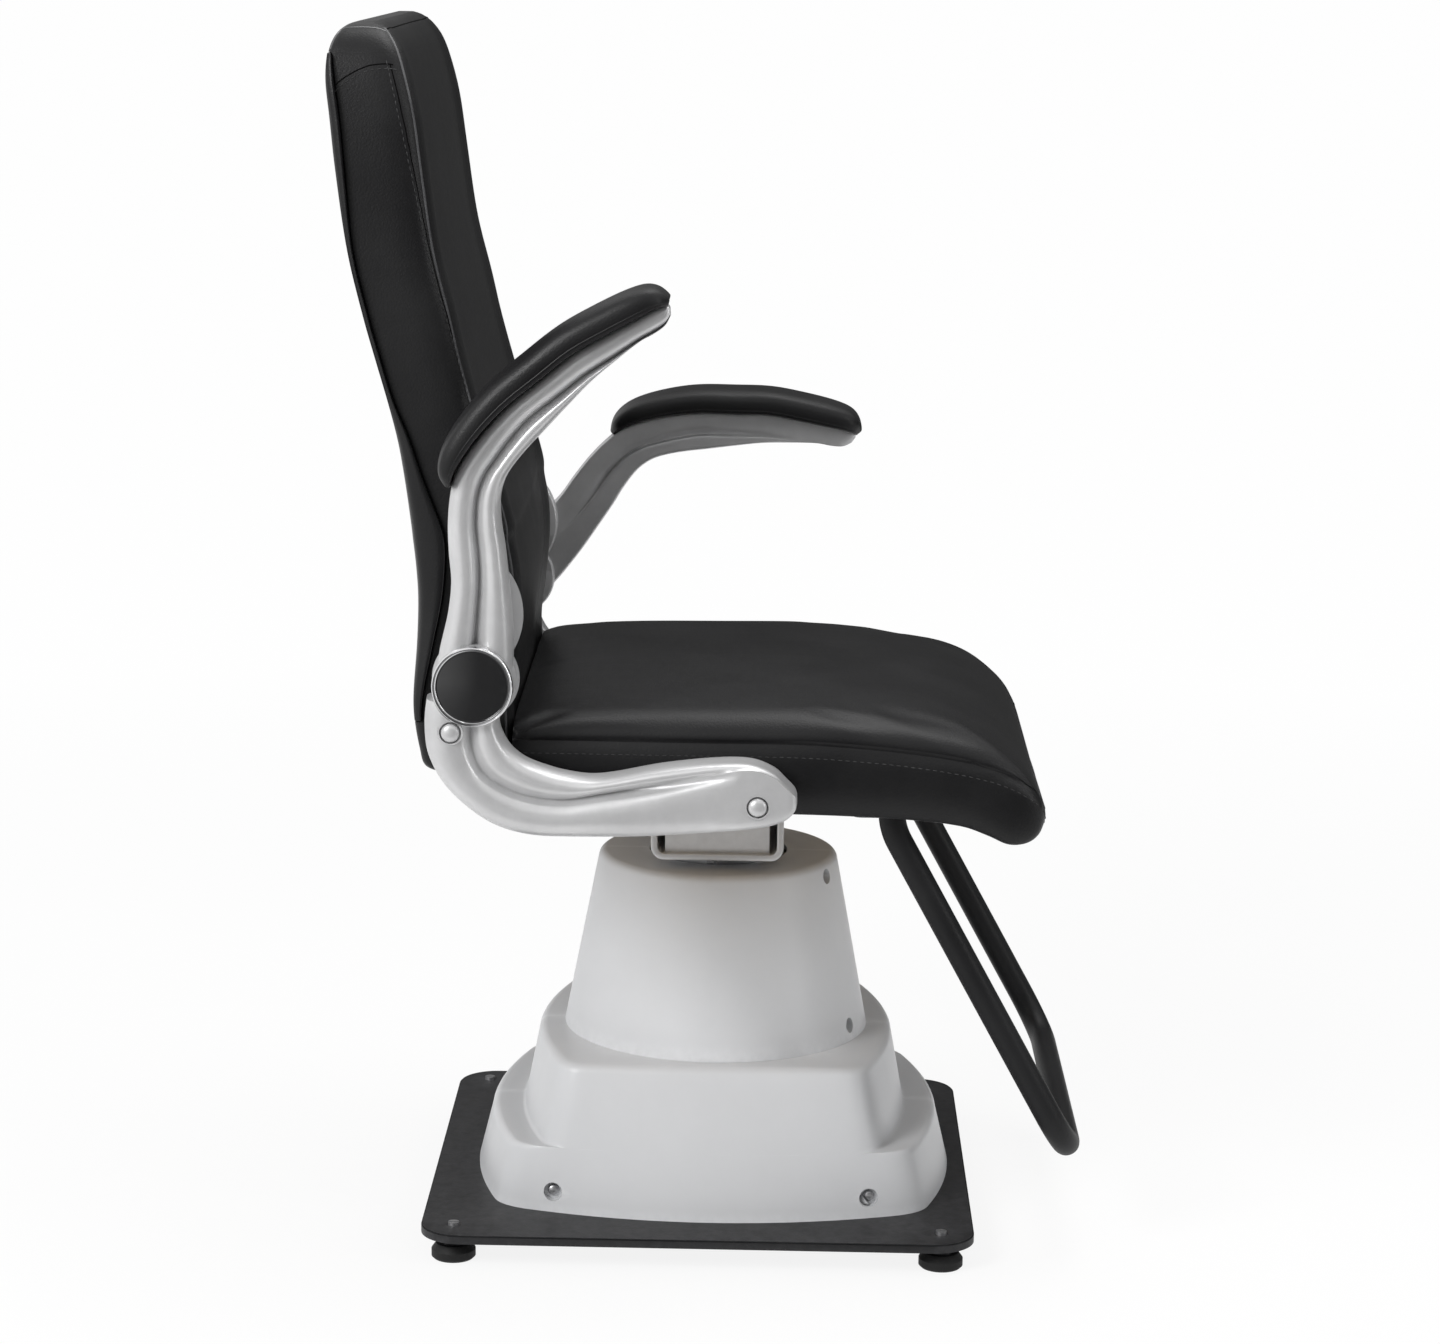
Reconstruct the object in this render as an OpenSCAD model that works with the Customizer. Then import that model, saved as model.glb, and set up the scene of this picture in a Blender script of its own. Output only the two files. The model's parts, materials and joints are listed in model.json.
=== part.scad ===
// Ophthalmic examination chair: an electric lift column on a square floor
// plate, a swivelling upholstered seat and back, two armrests that flip up
// at a round pivot, and a tube footrest. Sizes are in millimetres, +Z is up,
// +X is the way the sitter faces, and the origin is on the floor on the
// column's axis. The right side of the sitter is at -Y.

/* [Floor plate] */
// Length of the plate's sides
plate_size = 500; // [460:5:640]
// Thickness of the plate
plate_t = 8; // [5:0.5:14]
// Radius of the plate's corners
plate_corner_r = 38; // [15:1:60]
// How far the plate's centre lies behind the column's axis
plate_back = 11; // [0:1:30]

/* [Levelling feet] */
// Diameter of a foot's pad
foot_pad_d = 40; // [30:1:50]
// Height of a foot's pad
foot_pad_h = 14; // [8:1:25]
// Diameter of a foot's stud
foot_stud_d = 10; // [8:1:16]
// Height of the nut welded under the plate for each stud
foot_nut_h = 8; // [5:1:15]
// Width of that nut across its flats
foot_nut_w = 22; // [20:1:28]
// How far a stud's end stands above the plate
foot_stud_proud = 3; // [1:0.5:8]
// Distance from the plate's edges to a stud
foot_inset = 30; // [26:1:45]

/* [Base cover] */
// Height of the base cover above the plate
base_cover_h = 133; // [110:1:180]
// Half the cover's length at the floor plate
base_cover_x = 223; // [210:1:245]
// Half the cover's width at the floor plate
base_cover_y = 202; // [190:1:225]
// Height of the lower tier above the plate
base_tier_h = 58; // [45:1:70]
// Wall of the plastic covers
cover_wall = 4; // [2.5:0.5:6]
// Diameter of a recessed screw hole in the base cover
base_screw_recess_d = 17; // [12:1:22]
// Distance between the two recessed holes of one cover half
base_screw_span = 288; // [240:1:320]

/* [Column cover] */
// Height of the column cover
cone_h = 167; // [140:1:220]
// Outer radius of the column cover at its foot
cone_foot_r = 143; // [125:1:150]
// Outer radius of the column cover at its top
cone_top_r = 111; // [98:1:120]
// Radius of the rounded top rim
cone_rim_r = 8; // [4:1:14]
// Diameter of a recessed screw hole in the column cover
cone_screw_recess_d = 14; // [10:1:18]

/* [Lift column] */
// Outer diameter of the fixed guide column
guide_d = 140; // [132:1:150]
// Wall of the guide column
guide_wall = 8; // [5:0.5:9]
// Outer diameter of the polished lift column
lift_d = 110; // [104:1:114]
// Wall of the lift column
lift_wall = 6; // [4:0.5:8]
// Travel of the seat's height
lift_travel = 180; // [120:5:200]
// Diameter of the guide column's foot flange
guide_flange_d = 220; // [200:2:230]
// Diameter of the swivel spindle
spindle_d = 30; // [24:1:34]

/* [Seat bracket] */
// Length of the bracket tube's opening side, along X
bracket_w = 122; // [110:1:140]
// Height of the bracket tube
bracket_h = 74; // [60:1:110]
// Length of the bracket tube, along Y
bracket_len = 180; // [140:2:220]
// Wall of the bracket tube
bracket_wall = 6; // [4:0.5:8]

/* [Seat] */
// Width of the seat cushion
seat_w = 490; // [440:2:560]
// How far the seat cushion reaches ahead of the column's axis
seat_front = 291; // [270:1:330]
// How far the seat cushion reaches behind the column's axis
seat_rear = 179; // [165:1:179]
// Height of the cushion's side, from its underside to its crease
seat_side_h = 64; // [54:1:90]
// Height of the cushion's crown above the crease
seat_crown_h = 27; // [15:1:45]
// Thickness of the plywood seat board
seat_board_t = 10; // [8:1:15]

/* [Back] */
// Width of the back
back_w = 470; // [420:2:500]
// Height of the back, from its lower edge to its top
back_h = 660; // [560:5:780]
// Thickness of the plywood back board
back_board_t = 10; // [6:1:15]

/* [Armrests] */
// Distance of an armrest pivot behind the column's axis
pivot_back = 209; // [200:1:215]
// Height of an armrest pivot above the seat's underside
pivot_up = 123; // [115:1:140]
// Diameter of a pivot cap
pivot_cap_d = 70; // [62:1:74]
// Gap between the seat cushion's side and an armrest's inner face
arm_gap = 17; // [15:1:40]
// Thickness of an armrest and of its bracket
arm_t = 38; // [32:1:48]
// Reach of a raised armrest, from its pivot to its tip
arm_reach = 165; // [150:1:190]
// Height of a raised armrest, from its pivot to its tip
arm_rise = 330; // [300:2:380]
// Width of an armrest pad
arm_pad_w = 76; // [60:1:80]
// Thickness of an armrest pad
arm_pad_t = 25; // [15:1:32]
// How far the right armrest is raised
right_arm_raised = 40; // [0:1:90]

/* [Footrest] */
// Outer diameter of the footrest's tube
foot_tube_d = 24; // [18:1:30]
// Wall of the footrest's tube
foot_tube_wall = 2; // [1:0.5:4]
// Distance between the two side tubes' centres
foot_tube_span = 400; // [340:2:440]
// Height of the lower bar's centre above the floor
foot_bar_z = 100; // [80:1:160]
// How far the lower bar lies ahead of the tops of the side tubes
foot_bar_reach = 168; // [150:1:220]

/* [Hidden] */
$fn = 64;
// Overrun of every cut
over = 1;
// Play of a turning or sliding fit, all round
run_fit = 0.05;
// Play between pieces that are fixed to each other
seat_gap = 0.1;
// Play between a cushion and the rigid piece it holds
pad_gap = 0.3;

// Colours of the finishes
silver = [0.68, 0.68, 0.70];
cover_grey = [0.80, 0.81, 0.82];
leather_black = [0.05, 0.05, 0.055];
plate_black = [0.10, 0.10, 0.11];
steel = [0.60, 0.61, 0.63];
chrome = [0.85, 0.86, 0.88];
rubber = [0.07, 0.07, 0.07];
plywood = [0.70, 0.56, 0.38];

// Heights of the stack from the floor up
plate_z0 = foot_pad_h + foot_nut_h;
plate_z1 = plate_z0 + plate_t;
tier_top_z = plate_z1 + base_cover_h;
cone_top_z = tier_top_z + cone_h;
head_proud = 3;
head_z1 = cone_top_z + head_proud;
// The armrests stand clear of the wider of the seat and the back
arm_inner_y = max(seat_w, back_w) / 2 + arm_gap;
washer_t = 1.5;
spindle_flange_t = 5.4;
bracket_z0 = head_z1 + washer_t + spindle_flange_t + seat_gap;
bracket_z1 = bracket_z0 + bracket_h;
seat_plate_t = 5;
seat_z0 = bracket_z1 + seat_plate_t;

// A point on a smooth curve through four neighbours, at share t of the way
// from b to c
function curve4(a, b, c, d, t) =
  0.5 * (2 * b + (c - a) * t + (2 * a - 5 * b + 4 * c - d) * t * t
         + (3 * b - a - 3 * c + d) * t * t * t);
// The point at place t on the smooth curve through a list of points
function along(p, t) =
  let (i = min(floor(t), len(p) - 2))
  curve4(p[max(i - 1, 0)], p[i], p[i + 1], p[min(i + 2, len(p) - 1)], t - i);
// A list of points made smooth, with n steps between neighbours
function smooth(p, n) = [for (i = [0 : (len(p) - 1) * n]) along(p, i / n)];
function mix(a, b, t) = a + (b - a) * t;

function middle(ring) = [for (i = [0 : 2]) [for (p = ring) p[i]] * [for (p = ring) 1] / len(ring)];

// A closed solid through a stack of rings of points. Each ring turns
// anticlockwise when it is seen from the end of the stack, and each end is
// closed by a fan about its middle.
module loft(rings) {
  n = len(rings[0]);
  m = len(rings);
  sides = [
    for (k = [0 : m - 2]) for (i = [0 : n - 1])
      let (j = (i + 1) % n, a = k * n + i, b = k * n + j)
      each [[a, a + n, b + n], [a, b + n, b]]
  ];
  ends = [
    for (i = [0 : n - 1]) let (j = (i + 1) % n)
      each [[m * n, i, j], [m * n + 1, (m - 1) * n + j, (m - 1) * n + i]]
  ];
  points = concat([for (r = rings) each r], [middle(rings[0]), middle(rings[m - 1])]);
  polyhedron(points = points, faces = concat(sides, ends), convexity = 8);
}

// A rectangle with round corners, about the origin
module round_rect(x, y, r) {
  square([x - 2 * r, y], center = true);
  square([x, y - 2 * r], center = true);
  for (i = [-1, 1]) for (j = [-1, 1])
    translate([i * (x / 2 - r), j * (y / 2 - r)]) circle(r);
}

// A cylinder along +Y from y0 to y1 about a point of the XZ plane
module y_rod(x, z, y0, y1, r) {
  translate([x, y0, z]) rotate([-90, 0, 0]) cylinder(h = y1 - y0, r = r);
}

// Places one side module on the left of the chair, or mirrored on its right
module on_side(right) {
  if (right) mirror([0, 1, 0]) children();
  else children();
}

// Floor plate and levelling feet
stud_xy = plate_size / 2 - foot_inset;
flange_bolt_d = 10;
flange_bolt_count = 6;
flange_t = 12;
flange_bolt_pcd = (guide_d + guide_flange_d) / 2;

module at_feet() {
  for (i = [-1, 1]) for (j = [-1, 1])
    translate([i * stud_xy - plate_back, j * stud_xy, 0]) children();
}

module base_plate() {
  edge = plate_t / 6;
  color(plate_black) difference() {
    union() {
      translate([-plate_back, 0, plate_z0])
        linear_extrude(plate_t - edge) round_rect(plate_size, plate_size, plate_corner_r);
      translate([-plate_back, 0, plate_z0])
        linear_extrude(plate_t)
          round_rect(plate_size - 2 * edge, plate_size - 2 * edge, plate_corner_r - edge);
      at_feet() translate([0, 0, foot_pad_h])
        cylinder(h = foot_nut_h + edge, d = foot_nut_w / cos(30), $fn = 6);
    }
    at_feet() translate([0, 0, foot_pad_h - over])
      cylinder(h = foot_nut_h + plate_t + 2 * over, d = foot_stud_d + 2 * run_fit);
    for (a = [0 : 360 / flange_bolt_count : 359])
      rotate(a + 180 / flange_bolt_count) translate([flange_bolt_pcd / 2, 0, plate_z0 - over])
        cylinder(h = plate_t + 2 * over, d = flange_bolt_d + 2 * seat_gap);
  }
}

module foot_pad(x, y) {
  r = foot_pad_d / 2;
  neck_r = foot_stud_d / 2 + seat_gap;
  sole = foot_pad_h / 7;
  color(rubber) translate([x * stud_xy - plate_back, y * stud_xy, 0]) rotate_extrude()
    polygon([[0, 0], [r - sole, 0], [r, sole], [r, foot_pad_h * 0.6],
             [r * 0.8, foot_pad_h], [neck_r, foot_pad_h], [neck_r, foot_pad_h / 2],
             [0, foot_pad_h / 2]]);
}

module foot_stud(x, y) {
  slot_w = foot_stud_d / 6;
  z1 = plate_z1 + foot_stud_proud;
  color(steel) translate([x * stud_xy - plate_back, y * stud_xy, 0]) difference() {
    translate([0, 0, foot_pad_h / 2]) cylinder(h = z1 - foot_pad_h / 2, d = foot_stud_d);
    translate([-foot_stud_d, -slot_w / 2, z1 - slot_w])
      cube([2 * foot_stud_d, slot_w, slot_w + over]);
  }
}

// Base cover: two mirrored shells in two tiers. The plan of each tier bows
// out a little on all four sides, and its front and rear corners are round.
tier_x_share = 0.945;
tier_top_x_share = 0.748;
tier_top_y_share = 0.782;
tier_draft_share = 0.21;
side_bow_share = 0.135;
face_bow_share = 0.25;
face_bow_top_share = 0.12;
plan_corner_share = 0.16;
tier_edge_r = 8;

// Half a plan outline on the +Y side, from +X round to -X: half length a,
// half width c, bow of the sides s, bow of the face f
function half_plan(a, c, s, f) =
  let (k = plan_corner_share,
       yc = c - f * pow((a - s) / a, 2),
       side = [for (y = [0, 0.3, 0.55, 0.72]) [a - s * pow(y, 2), yc * y]],
       p = [a - s * pow(1 - k, 2), yc * (1 - k)],
       q = [a - s - k * a, c - f * pow((a - s - k * a) / a, 2)],
       corner = [a - s, yc],
       round = [for (t = [0, 0.25, 0.5, 0.75, 1])
         p * pow(1 - t, 2) + corner * 2 * t * (1 - t) + q * t * t],
       face = [for (x = [0.55, 0.3]) [a * x, c - f * x * x]],
       quarter = concat(side, round, face))
  concat(quarter, [[0, c]], [for (i = [len(quarter) - 1 : -1 : 0]) [-quarter[i][0], quarter[i][1]]]);

// The front and rear faces lean in evenly from the plate to the top
function face_y(z) =
  mix(base_cover_y, base_cover_y * tier_top_y_share, (z - plate_z1) / base_cover_h);

// How far those faces fall back from the middle to the cover's full length
function face_bow(z) = base_cover_y * face_bow_share
  * mix(1, face_bow_top_share, (z - plate_z1) / base_cover_h);
function face_at(x, z) = face_y(z) - face_bow(z) * pow(x / base_cover_x, 2);

// A ring of the cover at height z with half length x, its faces drawn in by
// dy, the whole inset by a wall of w
function tier_ring(x, z, dy, w) =
  let (a = x - w, f = face_bow(z) * pow(a / base_cover_x, 2))
  [for (p = half_plan(a, face_y(z) - dy - w, base_cover_x * side_bow_share, f))
    [p[0], p[1], z - w]];

function cover_rings(w) =
  let (x1 = base_cover_x * tier_x_share, x3 = base_cover_x * tier_top_x_share,
       x2 = x3 + base_tier_h * tier_draft_share, r = tier_edge_r,
       zb = plate_z1 + base_tier_h, zc = tier_top_z)
  [
    tier_ring(base_cover_x, plate_z1, 0, w), tier_ring(x1, zb - r, 0, w),
    tier_ring(x1 - r * 0.3, zb - r * 0.3, 0, w), tier_ring(x1 - r, zb, 0, w),
    tier_ring(x2 + r * 0.4, zb + r * 0.1, 0, w), tier_ring(x2, zb + r * 0.5, 0, w),
    tier_ring(x3, zc - r, 0, w), tier_ring(x3 - r * 0.3, zc - r * 0.3, r * 0.3, w),
    tier_ring(x3 - r, zc, r, w)
  ];

screw_up = 18;
screw_z = plate_z1 + screw_up;
cover_face_tilt = atan(base_cover_y * (1 - tier_top_y_share) / base_cover_h);
screw_recess = 9;
screw_hole_d = 5.5;
// Where the recessed screws meet the sloping face, half a cover each side
screw_face_y = face_at(base_screw_span / 2, screw_z);
inlet_w = 50;
inlet_h = 30;
inlet_up = 32;
inlet_z = plate_z1 + inlet_up;
inlet_face_y = base_cover_y - (inlet_z - plate_z1) * tan(cover_face_tilt);

module cover_half() {
  boss_wall = 2.5;
  difference() {
    union() {
      difference() {
        loft(cover_rings(0));
        loft(cover_rings(cover_wall));
      }
      for (i = [-1, 1]) intersection() {
        y_rod(i * base_screw_span / 2, screw_z, screw_face_y - screw_recess - cover_wall,
              base_cover_y, base_screw_recess_d / 2 + boss_wall);
        loft(cover_rings(0));
      }
    }
    for (i = [-1, 1]) {
      y_rod(i * base_screw_span / 2, screw_z, screw_face_y - screw_recess,
            base_cover_y + over, base_screw_recess_d / 2);
      y_rod(i * base_screw_span / 2, screw_z, screw_face_y - 2 * screw_recess - cover_wall,
            base_cover_y, screw_hole_d / 2);
    }
    translate([0, 0, plate_z1]) cylinder(h = 2 * base_cover_h, r = cone_foot_r - 2 * cover_wall);
    translate([-base_cover_x - over, -over, plate_z1 - over])
      cube([2 * (base_cover_x + over), over + seat_gap / 2, base_cover_h + 2 * over]);
  }
}

module base_cover_right() { color(cover_grey) mirror([0, 1, 0]) cover_half(); }

module base_cover_left() {
  color(cover_grey) difference() {
    cover_half();
    translate([-inlet_w / 2, 0, inlet_z - inlet_h / 2])
      cube([inlet_w, base_cover_y + over, inlet_h]);
  }
}

screw_head_r = 5;
screw_head_h = 3.5;
screw_d = 5;

// A pan-head screw along -Y whose head's seat is at y
module cover_screw(x, z, y, length) {
  y_rod(x, z, y, y + screw_head_h, screw_head_r);
  y_rod(x, z, y - length, y + over, screw_d / 2);
}

module base_cover_screws() {
  for (right = [true, false]) for (i = [-1, 1]) color(steel) on_side(right)
    cover_screw(i * base_screw_span / 2, screw_z, screw_face_y - screw_recess + seat_gap,
                screw_recess + 2 * cover_wall);
}

// Column cover: two half cones with a rounded top rim
cone_wall_in = cover_wall / cos(atan((cone_foot_r - cone_top_r) / cone_h));
cone_seam = seat_gap / 2;
head_flange_r = guide_d / 2 - guide_wall;
cone_hole_play = 3;
cone_hole_r = head_flange_r + cone_hole_play;
cone_screw_angle = 26;
cone_screw_low = 14;
cone_screw_high = 154;
function cone_r(z) = mix(cone_foot_r, cone_top_r, z / cone_h);

module cone_profile() {
  r = cone_rim_r;
  w = cone_wall_in;
  difference() {
    union() {
      polygon([[0, 0], [cone_foot_r, 0], [cone_r(cone_h - r), cone_h - r], [cone_top_r - r, cone_h],
               [0, cone_h]]);
      translate([cone_top_r - r + over / 2, cone_h - r]) circle(r);
    }
    polygon([[-over, -over], [cone_foot_r - w, -over], [cone_foot_r - w, 0],
             [cone_top_r - w, cone_h - cover_wall], [-over, cone_h - cover_wall]]);
    translate([-over, 0]) square([cone_hole_r + over, cone_h + over]);
  }
}

// Puts a screw's axis, pointing out, at height z of the right half
module cone_screw_axis(z) {
  translate([0, 0, tier_top_z + z]) rotate([0, 0, -cone_screw_angle]) rotate([0, 90, 0])
    children();
}

module column_cover_half() {
  boss_r = cone_screw_recess_d / 2 + cover_wall / 2;
  difference() {
    union() {
      translate([0, 0, tier_top_z + seat_gap]) rotate([0, 0, 180]) rotate_extrude(angle = 180)
        cone_profile();
      for (z = [cone_screw_low, cone_screw_high]) intersection() {
        cone_screw_axis(z) translate([0, 0, cone_r(z) - screw_recess - cover_wall])
          cylinder(h = cone_foot_r, r = boss_r);
        translate([0, 0, tier_top_z + seat_gap])
          cylinder(h = cone_h, r1 = cone_foot_r, r2 = cone_top_r);
      }
    }
    for (z = [cone_screw_low, cone_screw_high]) cone_screw_axis(z) {
      translate([0, 0, cone_r(z) - screw_recess])
        cylinder(h = 2 * screw_recess, d = cone_screw_recess_d);
      translate([0, 0, cone_r(z) / 2]) cylinder(h = cone_foot_r, d = screw_hole_d);
    }
    translate([-cone_foot_r - over, -cone_seam, tier_top_z])
      cube([2 * (cone_foot_r + over), cone_foot_r, cone_h + over + seat_gap]);
  }
}

module column_cover_right() { color(cover_grey) column_cover_half(); }
module column_cover_left() { color(cover_grey) rotate([0, 0, 180]) column_cover_half(); }

module column_cover_screws() {
  for (turn = [0, 180]) for (z = [cone_screw_low, cone_screw_high])
    color(steel) rotate([0, 0, turn]) cone_screw_axis(z)
      translate([0, 0, cone_r(z) - screw_recess + seat_gap]) {
        cylinder(h = screw_head_h, r = screw_head_r);
        translate([0, 0, -screw_recess - cover_wall])
          cylinder(h = screw_recess + cover_wall + over, d = screw_d);
      }
}

// Lift column, its guide and the electric actuator inside
guide_r = guide_d / 2;
guide_bore_r = guide_r - guide_wall;
lift_r = lift_d / 2;
lift_bore_r = lift_r - lift_wall;
head_t = 12;
bump_t = 3;
guide_z1 = head_z1 - head_t - bump_t;
liner_h = 40;
lift_clear = 30;
lift_z0 = plate_z1 + lift_clear;
slide_ring_play = 8;
slide_ring_h = guide_z1 - liner_h - lift_travel - lift_z0 - slide_ring_play;
ring_grip = 6;
bearing_h = 18;
bearing_r = 26;
washer_r = 49;
spindle_r = spindle_d / 2;
spindle_nut_h = 11;
rod_x = -18;
rod_r = 11;
motor_x = 24;
housing_r = 18;
pin_r = 6;
upper_pin_down = 48;
upper_pin_z = head_z1 - upper_pin_down;
lower_pin_up = 14;
lower_pin_z = plate_z1 + lower_pin_up;
gear_up = 6;
gear_z = lower_pin_z + pin_r + gear_up;
gear_t = 16;
rod_play = 3;
bearing_lip = 2;

module guide_column() {
  color(plate_black) difference() {
    union() {
      translate([0, 0, plate_z1]) cylinder(h = flange_t, d = guide_flange_d);
      translate([0, 0, plate_z1]) cylinder(h = guide_z1 - plate_z1, r = guide_r);
    }
    translate([0, 0, plate_z1 - over]) cylinder(h = cone_top_z, r = guide_bore_r);
    for (a = [0 : 360 / flange_bolt_count : 359])
      rotate(a + 180 / flange_bolt_count) translate([flange_bolt_pcd / 2, 0, plate_z1 - over])
        cylinder(h = flange_t + 2 * over, d = flange_bolt_d + 2 * seat_gap);
  }
}

module flange_bolts() {
  head_h = flange_bolt_d * 0.64;
  for (a = [0 : 360 / flange_bolt_count : 359]) color(steel)
    rotate(a + 180 / flange_bolt_count) translate([flange_bolt_pcd / 2, 0, 0]) {
      translate([0, 0, plate_z0]) cylinder(h = plate_t + flange_t + over, d = flange_bolt_d);
      translate([0, 0, plate_z1 + flange_t])
        cylinder(h = head_h, d = flange_bolt_d * 1.7 / cos(30), $fn = 6);
    }
}

module guide_liner() {
  color([0.85, 0.84, 0.78]) difference() {
    union() {
      translate([0, 0, guide_z1 - liner_h]) cylinder(h = liner_h, r = guide_bore_r);
      translate([0, 0, guide_z1]) cylinder(h = bump_t - seat_gap, r = guide_r - guide_wall / 4);
    }
    translate([0, 0, guide_z1 - liner_h - over])
      cylinder(h = liner_h + bump_t + 2 * over, r = lift_r + run_fit);
  }
}

module slide_ring() {
  color([0.85, 0.84, 0.78]) translate([0, 0, lift_z0]) difference() {
    cylinder(h = slide_ring_h, r = guide_bore_r - run_fit);
    translate([0, 0, -over]) cylinder(h = slide_ring_h + 2 * over, r = lift_r);
  }
}

module lift_column() {
  color(chrome) difference() {
    translate([0, 0, lift_z0]) cylinder(h = head_z1 - head_t - lift_z0, r = lift_r);
    translate([0, 0, lift_z0 - over]) cylinder(h = head_z1, r = lift_bore_r);
    y_rod(rod_x, upper_pin_z, -lift_d, lift_d, pin_r);
  }
}

module lift_head() {
  plug = bearing_h - head_t + bearing_lip;
  color(steel) difference() {
    union() {
      translate([0, 0, head_z1 - head_t]) cylinder(h = head_t, r = head_flange_r);
      translate([0, 0, head_z1 - head_t - plug]) cylinder(h = plug + over, r = lift_bore_r);
    }
    translate([0, 0, head_z1 - head_t - plug - over])
      cylinder(h = head_t + plug + 2 * over, r = bearing_r);
  }
}

module swivel_bearing() {
  color(chrome) translate([0, 0, head_z1 - bearing_h]) difference() {
    cylinder(h = bearing_h, r = bearing_r);
    translate([0, 0, -over]) cylinder(h = bearing_h + 2 * over, r = spindle_r + run_fit);
  }
}

module thrust_washer() {
  color([0.72, 0.58, 0.30]) translate([0, 0, head_z1]) difference() {
    cylinder(h = washer_t, r = washer_r);
    translate([0, 0, -over]) cylinder(h = washer_t + 2 * over, r = spindle_r + bearing_lip);
  }
}

module actuator_housing() {
  color(plate_black) difference() {
    union() {
      translate([rod_x, 0, gear_z]) cylinder(h = upper_pin_z - gear_z - pin_r * 2.5, r = housing_r);
      translate([motor_x, 0, gear_z]) cylinder(h = liner_h * 3.2, r = housing_r);
      translate([rod_x, -housing_r, gear_z]) cube([motor_x - rod_x, 2 * housing_r, gear_t]);
      translate([rod_x - pin_r * 2, -pin_r, lower_pin_z - pin_r * 2])
        cube([pin_r * 4, pin_r * 2, gear_z - lower_pin_z + pin_r * 2 + over]);
    }
    translate([rod_x, 0, gear_z + gear_t]) cylinder(h = cone_top_z, r = rod_r + run_fit);
    y_rod(rod_x, lower_pin_z, -housing_r, housing_r, pin_r);
  }
}

module actuator_lug() {
  ear = 8;
  color(steel) difference() {
    union() {
      translate([rod_x, 0, plate_z1]) linear_extrude(pin_r / 3)
        round_rect(housing_r * 3, housing_r * 3, pin_r);
      for (j = [-1, 1])
        translate([rod_x - pin_r * 2, j * (pin_r + seat_gap + ear / 2) - ear / 2, plate_z1])
          cube([pin_r * 4, ear, lower_pin_z - plate_z1 + pin_r * 1.6]);
    }
    y_rod(rod_x, lower_pin_z, -housing_r * 2, housing_r * 2, pin_r);
  }
}

module actuator_lower_pin() {
  color(steel) y_rod(rod_x, lower_pin_z, -housing_r, housing_r, pin_r);
}

module actuator_rod() {
  z0 = gear_z + gear_t + rod_play;
  color(chrome) difference() {
    union() {
      translate([rod_x, 0, z0]) cylinder(h = upper_pin_z - z0, r = rod_r);
      y_rod(rod_x, upper_pin_z, -rod_r, rod_r, pin_r * 2);
    }
    y_rod(rod_x, upper_pin_z, -lift_r, lift_r, pin_r);
  }
}

module actuator_upper_pin() {
  reach = sqrt(pow(lift_r, 2) - pow(abs(rod_x) + pin_r, 2)) - over;
  color(steel) y_rod(rod_x, upper_pin_z, -reach, reach, pin_r);
}

// Brackets that hold the covers: four angles on the plate behind the base
// cover's screws, and two collars with arms on the guide column
module cover_brackets() {
  tab_w = 26;
  tab_t = 3;
  collar_h = 14;
  seat_y = screw_face_y - screw_recess - cover_wall - seat_gap;
  color(steel) {
    for (right = [true, false]) for (i = [-1, 1]) on_side(right) difference() {
      union() {
        translate([i * base_screw_span / 2 - tab_w / 2, seat_y - tab_t, plate_z1])
          cube([tab_w, tab_t, screw_z - plate_z1 + screw_head_r * 2]);
        translate([i * base_screw_span / 2 - tab_w / 2, seat_y - tab_w, plate_z1])
          cube([tab_w, tab_w, tab_t]);
      }
      y_rod(i * base_screw_span / 2, screw_z, seat_y - tab_w, seat_y + over,
            screw_d / 2 + seat_gap);
    }
    for (z = [cone_screw_low, cone_screw_high]) translate([0, 0, tier_top_z + z]) {
      arm_r = cone_r(z) - cover_wall - screw_recess - tab_t;
      difference() {
        union() {
          translate([0, 0, -collar_h / 2]) cylinder(h = collar_h, r = guide_r + tab_t);
          for (turn = [0, 180]) rotate([0, 0, turn - cone_screw_angle])
            translate([guide_r + tab_t / 2, -tab_t * 2, -collar_h / 3])
              cube([arm_r - guide_r, tab_t * 4, collar_h * 2 / 3]);
        }
        translate([0, 0, -collar_h]) cylinder(h = 2 * collar_h, r = guide_r + seat_gap);
        for (turn = [0, 180]) rotate([0, 0, turn - cone_screw_angle]) rotate([0, 90, 0])
          translate([0, 0, guide_r + 3 * tab_t]) cylinder(h = cone_foot_r, d = screw_d + 2 * seat_gap);
      }
    }
  }
}

// Electrics under the left cover
box_gap = 6;
box_y = guide_flange_d / 2 + box_gap;
module control_box() {
  color([0.25, 0.26, 0.27])
    translate([-inlet_w * 2.4, box_y, plate_z1]) cube([inlet_w * 1.7, inlet_w * 0.8, base_tier_h * 0.8]);
}

module power_inlet() {
  lip = 3;
  lip_t = 2;
  depth = 24;
  color(plate_black) translate([0, inlet_face_y + seat_gap, inlet_z]) rotate([cover_face_tilt, 0, 0])
    difference() {
      union() {
        translate([-inlet_w / 2 - lip, 0, -inlet_h / 2 - lip])
          cube([inlet_w + 2 * lip, lip_t, inlet_h + 2 * lip]);
        translate([-inlet_w / 2 + lip, -depth, -inlet_h / 2 + lip * 2])
          cube([inlet_w - 2 * lip, depth + lip_t / 2, inlet_h - 3 * lip]);
      }
      translate([-inlet_w / 4, -depth * 0.7, -inlet_h / 5])
        cube([inlet_w / 2, depth, inlet_h / 2]);
    }
}

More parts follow.
